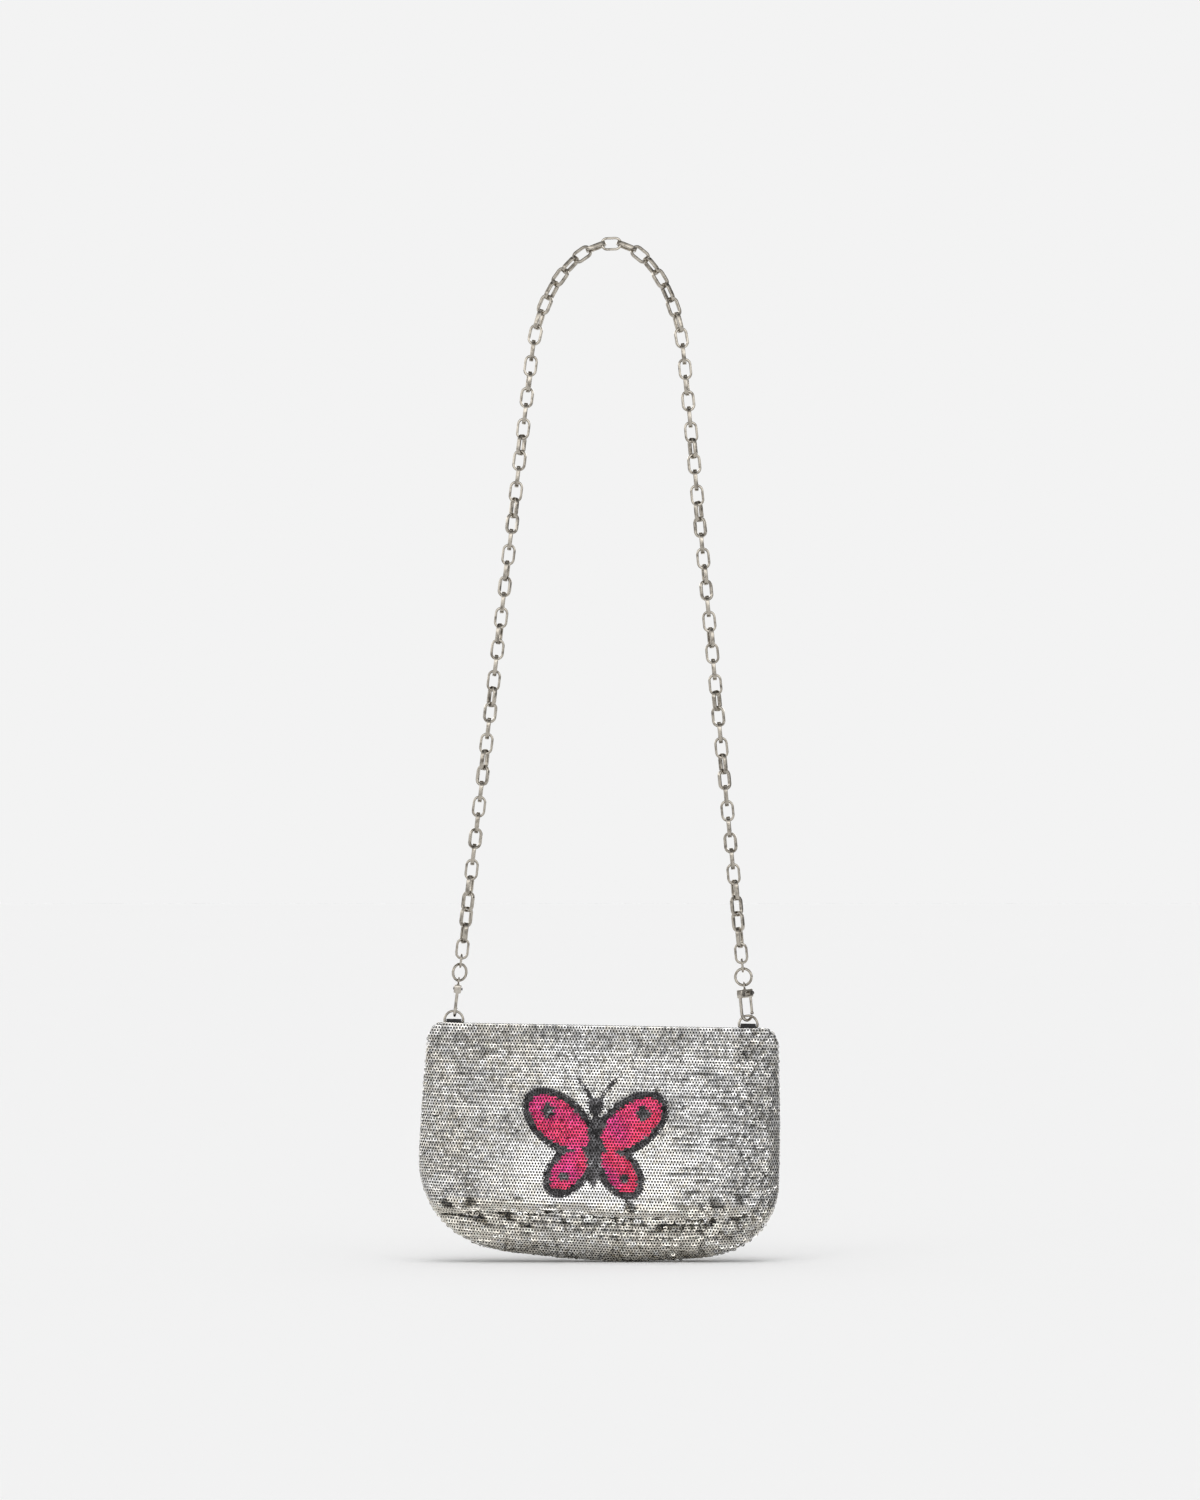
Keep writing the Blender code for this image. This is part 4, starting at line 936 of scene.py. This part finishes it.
def string_points():
    """Where the discs sit that are strung along the wings' outline and the feelers."""
    lines = []
    turns = np.linspace(0, 2 * pi, WING_STEPS)
    for inset in STRING_INSETS:
        for cx, cz, long, wide, tilt in WINGS:
            turn = radians(tilt)
            a, b = (long - inset) * np.cos(turns), (wide - inset) * np.sin(turns)
            u, v = spaced(cx + a * cos(turn) - b * sin(turn), cz + a * sin(turn) + b * cos(turn), STRING_STEP)
            kept = (wing_depth(u, v) < inset + STRING_EDGE) & ~on_body(u, v) & (u > STRING_GAP)
            lines.append((u[kept], v[kept]))
    v = np.linspace(FEELER_LOW + FEELER_CLEAR, FEELER_HIGH, FEELER_STEPS)
    lines.append(spaced(feeler(v), v, STRING_STEP))
    u, v = (np.concatenate(values) for values in zip(*lines))
    return np.concatenate([u, -u]) * MM + MOTIF_X, np.concatenate([v, v]) * MM + MOTIF_Z


def string_border(layout, row_count):
    """Put the border's discs on strings along the outline, in place of those in the rows."""
    centres, normals, rows_of, columns_of = layout
    u, v = motif_place(centres)
    depth = wing_depth(u, v)
    kept = (depth < 0) | (depth > STRING_INSETS[-1] + STRING_CLEAR) | on_body(u, v)
    x, z = string_points()
    near = np.argmin((centres[:, 0] - x[:, None]) ** 2 + (centres[:, 2] - z[:, None]) ** 2, axis=1)
    tall = (x - centres[near, 0]) * normals[near, 0] + (z - centres[near, 2]) * normals[near, 2]
    strung = np.stack([x, centres[near, 1] - tall / normals[near, 1], z], axis=1)
    wide = columns_of.max() - columns_of.min() + 1
    cells = np.arange(len(x))
    added = strung, normals[near], row_count + cells // wide, columns_of.min() + cells % wide
    layout = [np.concatenate([old[kept], new]) for old, new in zip(layout, added)]
    return layout, row_count + len(x) // wide + 1


def hanging(points, elevations):
    """How far each disc leans up from the cloth, as its thread lets it lie."""
    wanted, calm = zoned(points, LIE, LIE_CHANGES), 1 - SMOOTH_CALM * zone("smooth", points)
    for amount, grain, seed in LIE_WAVES:
        wanted = wanted + amount * calm * field(points, grain, seed)
    low = np.clip((-points[:, 2] - LOW_START) / LOW_EASE, 0, 1)
    return np.clip(wanted - elevations, -LIE_REACH, LIE_REACH) * (1 - LOW_CALM * low)


def sequin_layout(facing):
    """Centres, facings, rows and columns of all sequins of one side, and how many rows there are."""
    grids = cloth_grid(facing, NET_INSET)
    row_count = int((CLOTH_TALL - ROW_FOOT) / SEQUIN_PITCH) + 1
    rows = []
    for k in range(row_count):
        at = (FIRST_ROW + k * SEQUIN_PITCH) / CLOTH_TALL * (CLOTH_ROWS - 1)
        i = min(int(at), CLOTH_ROWS - 2)
        line, square = (grid[i] * (1 - (at - i)) + grid[i + 1] * (at - i) for grid in grids)
        run = np.concatenate([[0], np.cumsum(np.linalg.norm(np.diff(line, axis=0), axis=1))])
        middle = np.interp(BAG_SHIFT, line[:, 0], run)
        shift = ROW_STAGGER * (k % 2) + chance.normal(0, ROW_UNEVEN)
        columns = np.arange(ceil((ROW_END - middle) / SEQUIN_PITCH - shift),
                            int((run[-1] - ROW_END - middle) / SEQUIN_PITCH - shift) + 1)
        places = middle + (columns + shift) * SEQUIN_PITCH
        centres, normals = (np.stack([np.interp(places, run, values) for values in grid.T], axis=1)
                            for grid in (line, square))
        normals /= np.linalg.norm(normals, axis=1, keepdims=True)
        rows.append((centres, normals, np.full(len(columns), k), columns))
    return [np.concatenate(values) for values in zip(*rows)], row_count


def sequin_mesh(discs, row_count):
    """All discs of one piece as one mesh, with each disc's tint, darkened towards its hole as painted shade,
    and its own cell for baking.
    """
    centres, normals, tints, rows_of, columns_of = discs
    count = len(centres)
    across = np.cross(normals, (0.0, 0.0, 1.0))
    across[np.linalg.norm(across, axis=1) < 0.2] = (1.0, 0.0, 0.0)
    across /= np.linalg.norm(across, axis=1, keepdims=True)
    up = np.cross(across, normals)
    angles = 2 * np.pi * np.arange(SEQUIN_SIDES) / SEQUIN_SIDES
    start = (chance.uniform(0, 2 * np.pi, count)[:, None] + angles[None, :])[..., None]
    ring = np.cos(start) * across[:, None, :] + np.sin(start) * up[:, None, :]
    outer = centres[:, None, :] + ring * SEQUIN_RADIUS
    inner = centres[:, None, :] + ring * SEQUIN_HOLE - normals[:, None, :] * SEQUIN_CUP
    verts = np.concatenate([outer, inner], axis=1).reshape(-1, 3)
    side = np.arange(SEQUIN_SIDES)
    after = (side + 1) % SEQUIN_SIDES
    quad = np.stack([side, after, after + SEQUIN_SIDES, side + SEQUIN_SIDES], axis=1)
    corners = (np.arange(count)[:, None, None] * 2 * SEQUIN_SIDES + quad[None]).reshape(-1, 4)
    mesh = mesh_of(verts.tolist(), corners.tolist())
    # Painted shade: each disc's colour darkens from its rim towards its hole.
    ends = np.repeat([1.0, SEQUIN_HOLE_PAINTED_SHADE], SEQUIN_SIDES)[None, :, None]
    colours = np.concatenate([tints[:, None, :] * ends, np.ones((count, 2 * SEQUIN_SIDES, 1))], axis=2)
    layer = mesh.attributes.new("tint", "FLOAT_COLOR", "POINT")
    layer.data.foreach_set("color", colours.astype(np.float32).ravel())
    column_count = columns_of.max() - columns_of.min() + 1
    left = (columns_of - columns_of.min() + 0.5) / column_count
    cell = np.stack([left, 1 - (rows_of + 0.5) / row_count], axis=1)
    size = np.array((SEQUIN_CELL / column_count, SEQUIN_CELL / row_count))
    spokes = np.stack([np.cos(angles), np.sin(angles)], axis=1)
    spots = np.concatenate([spokes, spokes * SEQUIN_HOLE / SEQUIN_RADIUS])
    places = (cell[:, None, :] + spots[None] * size).reshape(-1, 2)
    layer = mesh.uv_layers.new(name="OFBake")
    layer.data.foreach_set("uv", places[corners.ravel()].astype(np.float32).ravel())
    return mesh


def disc_turns(centres, normals, rows_of, picked, strung):
    """How far each disc is lifted off the cloth's slope and leans to a side, in radians."""
    count, smooth, crumple = len(centres), zone("smooth", centres), zone("crumple", centres)
    elevations = np.degrees(np.arcsin(np.clip(normals[:, 2], -1, 1)))
    base = hanging(centres, elevations)
    streaks = STREAK_BASE + STREAK_WAVES * field(centres, *NOISES["streaks"])
    streaks = streaks + STREAK_LOW * zone("low_ribs", centres)
    ribs = np.clip(zoned(centres, 0, RIB_CHANGES) * np.clip(streaks, 0, STREAK_MOST), 0, 1)
    ribs = ribs * (rows_of % 2) * chance.uniform(RIB_LEAST, 1.0, rows_of.max() + 1)[rows_of]
    ribs = ribs * np.clip(chance.normal(RIB_SHARE, RIB_UNEVEN, count), 0, 1) * ~strung
    spots = np.clip((field(centres, *NOISES["spots"]) - SPOT_FROM) / SPOT_SOFT, 0, 1) * zone("spots", centres)
    rough = zoned(centres, 1.0, ROUGH_CHANGES) * (1 - SMOOTH_ROUGH * smooth)
    rough = rough + ROUGH_LOW * zone("rough_low", centres)
    pink = picked == 1
    lift = base + ribs * np.clip(RIB_ELEVATION - elevations - base, 0, RIB_REACH) + SPOT_LIFT * spots
    lift = lift + PINK_RIGHT_LIFT * pink * (centres[:, 0] > PINK_RIGHT) + PINK_LIFT * pink
    lift = lift + chance.normal(0, LIFT_SPREAD, count) * rough
    lift = lift + crumple * CRUMPLE_LIFT * field(centres, *NOISES["crumple_lift"])
    lean = LEAN + LEAN_WAVES * field(centres, *NOISES["lean"]) + chance.normal(0, LEAN_SPREAD, count) * rough
    lean = lean + crumple * CRUMPLE_LEAN * field(centres, *NOISES["crumple_lean"])
    share = LOOSE + LOOSE_LOW * (centres[:, 2] < -LOW_START) + LOOSE_RIGHT * (centres[:, 0] > LOOSE_FROM)
    loose = chance.random(count) < share
    lift = np.where(loose, lift + chance.normal(0, LOOSE_SPREAD, count), lift)
    lean = np.where(loose, lean + chance.normal(0, LOOSE_SPREAD, count), lean)
    return np.radians(np.clip(lift, LIFT_LOWEST, LIFT_MOST)), np.radians(np.clip(lean, -LEAN_MOST, LEAN_MOST))


def disc_tints(centres, facing, picked, strung):
    """Each disc's colour: silver, warmer in places and brighter in the smooth lower middle as a painted
    highlight, with the butterfly's colours on the front and painted glints on its dark discs.
    """
    x, z = centres[:, 0], centres[:, 2]
    warm = WARM + WARM_WAVES * field(centres, *NOISES["warmth"])
    warm = warm + WARM_LEFT * (x < WARM_LEFT_END) + WARM_LOW * (z < WARM_LOW_TOP)
    warm = np.clip(warm + chance.normal(0, WARM_SPREAD, len(x)), 0, 1)[:, None]
    # Painted highlight: discs in the smooth lower middle get a brighter colour.
    painted_highlight = (1 + SMOOTH_PAINTED_HIGHLIGHT * zone("smooth", centres))[:, None]
    tints = (SILVER * (1 - warm) + SILVER_WARM * warm) * painted_highlight
    spread = BACK_TINTS
    if facing < 0:
        purple = PURPLE + PURPLE_WAVES * field(centres, *NOISES["purple"]) - x / PURPLE_LENGTH
        purple = np.clip(purple, 0, PURPLE_MOST)[:, None]
        # Painted glints: the dark discs are lighter in patches.
        waves = np.clip(field(centres, *NOISES["dark"]) * 2, 0, 1)
        darks_with_painted_glints = DARK * (1 + DARK_PAINTED_GLINTS * waves * ~strung)[:, None]
        tints = np.where(picked[:, None] == 2, darks_with_painted_glints, tints)
        tints = np.where(picked[:, None] == 1, PINK * (1 - purple) + VIOLET * purple, tints)
        spread = np.array((SILVER_TINTS, PINK_TINTS, DARK_TINTS))[picked]
    return np.clip(tints * np.exp(chance.normal(0, 1, len(x)) * spread)[:, None], 0, 1)


def add_sequins(facing, name):
    layout, row_count = sequin_layout(facing)
    strings_from = row_count
    if facing < 0:
        layout, row_count = string_border(layout, row_count)
    centres, normals, rows_of, columns_of = layout
    strung = rows_of >= strings_from
    picked = np.where(strung, 2, motif_colour(centres))
    if facing > 0:
        picked = picked * 0
    down = np.cross(normals, (1.0, 0.0, 0.0))
    down[down[:, 2] > 0] *= -1
    side = np.cross(down, normals)
    side[side[:, 0] < 0] *= -1
    lift, lean = disc_turns(centres, normals, rows_of, picked, strung)
    tilted = normals - down * np.tan(lift)[:, None] - side * np.tan(lean)[:, None]
    tilted /= np.linalg.norm(tilted, axis=1, keepdims=True)
    raised = SEQUIN_LIFT + ROW_RISE * (rows_of % 2) + chance.normal(0, RISE_UNEVEN, len(centres))
    raised = raised + SEQUIN_RADIUS * TILT_RISE * np.sin(np.abs(lift)) + STRING_RISE * strung
    places = centres + normals * raised[:, None]
    tints = disc_tints(centres, facing, picked, strung)
    left = centres[:, 0] < np.median(centres[:, 0])
    for part, chosen in (("a", left), ("b", ~left)):
        discs = [values[chosen] for values in (places, tilted, tints, rows_of, columns_of)]
        add_piece(f"sequins_{name}_{part}", sequin_mesh(discs, row_count), FOIL, "pouch", [],
                  POUCH_FRAME, CLOTH_ANGLE)


def add_pouch():
    for facing, name in ((-1, "front"), (1, "back")):
        net = shell_mesh(cloth_grid(facing, NET_INSET)[0], cloth_grid(facing, PANEL_THICK)[0])
        add_piece(f"net_{name}", net, NET, "pouch",
                  [f"{name}_panel"], POUCH_FRAME, CLOTH_ANGLE)
        add_sequins(facing, name)
        inset, start = PANEL_THICK + LINING_GAP, ZIP_DEPTH + TAPE_THICK + GAP
        skins = [cloth_grid(facing, place, LINING_ROWS, LINING_COLUMNS, LINING_WAVES, start)[0]
                 for place in (inset, inset + LINING_THICK)]
        add_piece(f"satin_{name}", shell_mesh(*skins), SATIN, "pouch",
                  [f"lining_{name}"], POUCH_FRAME, CLOTH_ANGLE)


# Zip

ZIP_HALF = BAR_HALF - TAB_WIDE / 2 - abs(BAG_SHIFT) - ZIP_TAB_GAP
TAPE_TOP = -BAG_TOP_DROP - ZIP_DEPTH
COIL_BASE = TAPE_TOP + GAP
COIL_TOP = COIL_BASE + COIL_TALL
TAPE_STEPS, TAPE_SAG, TAPE_SAG_WAVES, TAPE_EDGE = 90, 0.15 * MM, 40, 0.1 * MM


def tape_mesh(facing):
    """Twill tape from the coil out to the wall, its middle sagging in waves."""
    shares = np.linspace(-ZIP_HALF, ZIP_HALF, TAPE_STEPS) / BAG_TOP_HALF_WIDTH
    verts = []
    low, top, edge = TAPE_TOP - TAPE_THICK, TAPE_TOP, TAPE_TOP - TAPE_EDGE
    reach = outline(np.array(ZIP_DEPTH))[1] - PANEL_THICK
    for share in shares:
        wall = GAP / 2 + reach * sqrt(1 - share ** 4) - 2 * GAP
        sag = TAPE_SAG * sin(share * TAPE_SAG_WAVES)
        corners = [(GAP / 2, edge), (wall * 0.5, edge + sag), (wall, top),
                   (wall, low), (wall * 0.5, low + sag), (GAP / 2, low)]
        verts += [(BAG_SHIFT + share * BAG_TOP_HALF_WIDTH, facing * y, z) for y, z in corners]
    return mesh_of(verts, tube_faces(TAPE_STEPS, len(corners)), True)


def coil_mesh(facing):
    """Nylon coil: one long row of flattened loops."""
    reach = ZIP_HALF - STOP_LONG - GAP
    pitch, wire, per_turn, sides = 1.15 * MM, 0.46 * MM, 10, 6
    count = int(2 * reach / pitch) * per_turn + 1
    middle_y, middle_z = facing * (GAP / 2 + COIL_WIDE / 2), (COIL_BASE + COIL_TOP) / 2
    radius_y, radius_z = (COIL_WIDE - wire) / 2, (COIL_TALL - wire) / 2
    turns = [2 * pi * j / sides for j in range(sides)]
    verts = []
    for i in range(count):
        angle = 2 * pi * i / per_turn
        centre = Vector((BAG_SHIFT - reach + wire / 2 + pitch * i / per_turn,
                         middle_y + radius_y * cos(angle), middle_z + radius_z * sin(angle)))
        out = Vector((0, cos(angle), sin(angle)))
        along = Vector((pitch / (2 * pi), -radius_y * sin(angle), radius_z * cos(angle))).normalized()
        second = along.cross(out).normalized()
        verts += [centre + out * (wire / 2 * cos(turn)) + second * (wire / 2 * sin(turn)) for turn in turns]
    return mesh_of(verts, tube_faces(count, sides))


def add_zip():
    for facing, name in ((-1, "front"), (1, "back")):
        add_piece(f"twill_{name}", tape_mesh(facing), TAPE, "pouch",
                  [f"zip_tape_{name}"], POUCH_FRAME)
        add_piece(f"coil_{name}", coil_mesh(facing), COIL, "pouch",
                  [f"zip_coil_{name}"], POUCH_FRAME)
    for name in ("zip_stop_left", "zip_stop_right", "zip_slider", "zip_pull"):
        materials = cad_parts[name].data.materials
        materials.clear()
        materials.append(NICKEL_CAST)


# Floor, light and camera

PHOTO_WIDE, PHOTO_TALL, PIXEL = 1200, 1500, 0.694 * MM
ORIGIN_X, ORIGIN_Y = 613, 250.2
CAMERA_DISTANCE, SENSOR = 6.0, 36.0
BACKGROUND, AMBIENT, PAPER = 0.896, 0.50, (0.9, 0.9, 0.9)
FLOOR_SIZE, FLOOR_GAP = 14.0, 0.8 * MM
CARD_RADIUS, CARD_STRENGTH, CARD_MIDDLE = 5.0, 2.45, -0.35

# Brightness of the studio cards from low to high and from left to right, then in blotches
CARD_HEIGHTS = [(0.0, 0.42), (0.40, 0.46), (0.50, 0.40), (0.545, 0.52), (0.575, 1.0), (0.635, 1.0),
                (0.69, 0.60), (0.75, 0.40), (0.84, 0.27), (0.90, 0.10), (0.97, 0.03), (1.0, 0.35)]
CARD_SIDES = [(0.0, 0.4), (0.04, 0.7), (0.08, 1.0), (0.81, 1.0), (0.91, 0.4), (1.0, 0.15)]
CARD_BLOTCHES = [(0.40, 0.72), (0.60, 1.0)]

# Suns: name, azimuth, elevation, strength and spread
SUNS = (("top", -8, 84, 1.25, 42), ("front", -8, 40, 0.40, 80), ("glint", -30, 34, 0.06, 14))


def emptied_tree(owner):
    owner.use_nodes = True
    owner.node_tree.nodes.clear()
    return owner.node_tree


def add_world():
    """Plain background for camera, glossy and transmission rays, and soft light for the others."""
    world = bpy.data.worlds.new("studio")
    bpy.context.scene.world = world
    tree = emptied_tree(world)
    pale, lit = [node(tree, "Background", {"Color": (grey, grey, grey, 1.0), "Strength": strength})
                 for grey, strength in ((BACKGROUND, 1.0), (1.0, AMBIENT))]
    path = node(tree, "LightPath").outputs
    seen = maths(tree, "MAXIMUM", path["Is Camera Ray"], path["Is Glossy Ray"])
    seen = maths(tree, "MAXIMUM", seen, path["Is Transmission Ray"])
    mixed = node(tree, "MixShader", {"Fac": seen, 1: lit.outputs[0], 2: pale.outputs[0]})
    node(tree, "OutputWorld", {"Surface": mixed.outputs[0]})


def add_stage():
    bm = bmesh.new()
    bmesh.ops.create_grid(bm, x_segments=1, y_segments=1, size=FLOOR_SIZE)
    floor = new_object("floor", mesh_from(bm))
    floor.location = (0, 0, CAD_LOW.z - FLOOR_GAP)
    material, _ = new_material("floor_paper", PAPER, 0.0, 1.0, {"Specular IOR Level": 0.0})
    floor.data.materials.append(material)

    bm = bmesh.new()
    bmesh.ops.create_uvsphere(bm, u_segments=64, v_segments=32, radius=CARD_RADIUS)
    cards = new_object("studio_cards", mesh_from(bm))
    cards.location = (0, 0, CARD_MIDDLE)
    for rays in ("camera", "diffuse", "transmission", "shadow", "volume_scatter"):
        setattr(cards, f"visible_{rays}", False)
    material = bpy.data.materials.new("studio_cards")
    tree = emptied_tree(material)
    place = node(tree, "TexCoord").outputs["Object"]
    axes = node(tree, "SeparateXYZ", {"Vector": place}).outputs
    shade = ramp(tree, noise_of(tree, place, 0.7), CARD_BLOTCHES)
    for axis, stops in (("X", CARD_SIDES), ("Z", CARD_HEIGHTS)):
        share = maths(tree, "ADD", maths(tree, "MULTIPLY", axes[axis], 0.5 / CARD_RADIUS), 0.5)
        shade = maths(tree, "MULTIPLY", ramp(tree, share, stops), shade)
    glow = node(tree, "Emission", {"Color": shade, "Strength": CARD_STRENGTH}).outputs[0]
    node(tree, "OutputMaterial", {"Surface": glow})
    cards.data.materials.append(material)

    for name, azimuth, elevation, strength, spread in SUNS:
        lamp = bpy.data.lights.new(name, "SUN")
        lamp.energy = strength
        lamp.angle = radians(spread)
        sun = new_object(name, lamp)
        a, e = radians(azimuth), radians(elevation)
        towards = Vector((sin(a) * cos(e), -cos(a) * cos(e), sin(e)))
        sun.rotation_mode = "QUATERNION"
        sun.rotation_quaternion = towards.to_track_quat("Z", "Y")


def add_camera():
    camera = new_object("camera", bpy.data.cameras.new("camera"))
    camera.data.sensor_width = SENSOR
    camera.data.lens = SENSOR * CAMERA_DISTANCE / (PHOTO_TALL * PIXEL)
    camera.data.clip_end = 100.0
    across, up = (PHOTO_WIDE / 2 - ORIGIN_X) * PIXEL, (ORIGIN_Y - PHOTO_TALL / 2) * PIXEL
    camera.location = (across, -CAMERA_DISTANCE, up)
    camera.rotation_euler = (pi / 2, 0, 0)
    bpy.context.scene.camera = camera


add_camera()
add_world()
add_stage()
add_chain()
for leg, leg_name in SIDE_NAMES.items():
    add_rings(leg, leg_name)
    add_eye(leg, leg_name)
    add_clasp(leg, leg_name)
    add_d_ring(leg, leg_name)
    add_tab(leg, leg_name)
add_pouch()
add_zip()

bpy.context.scene.view_settings.view_transform = "Standard"
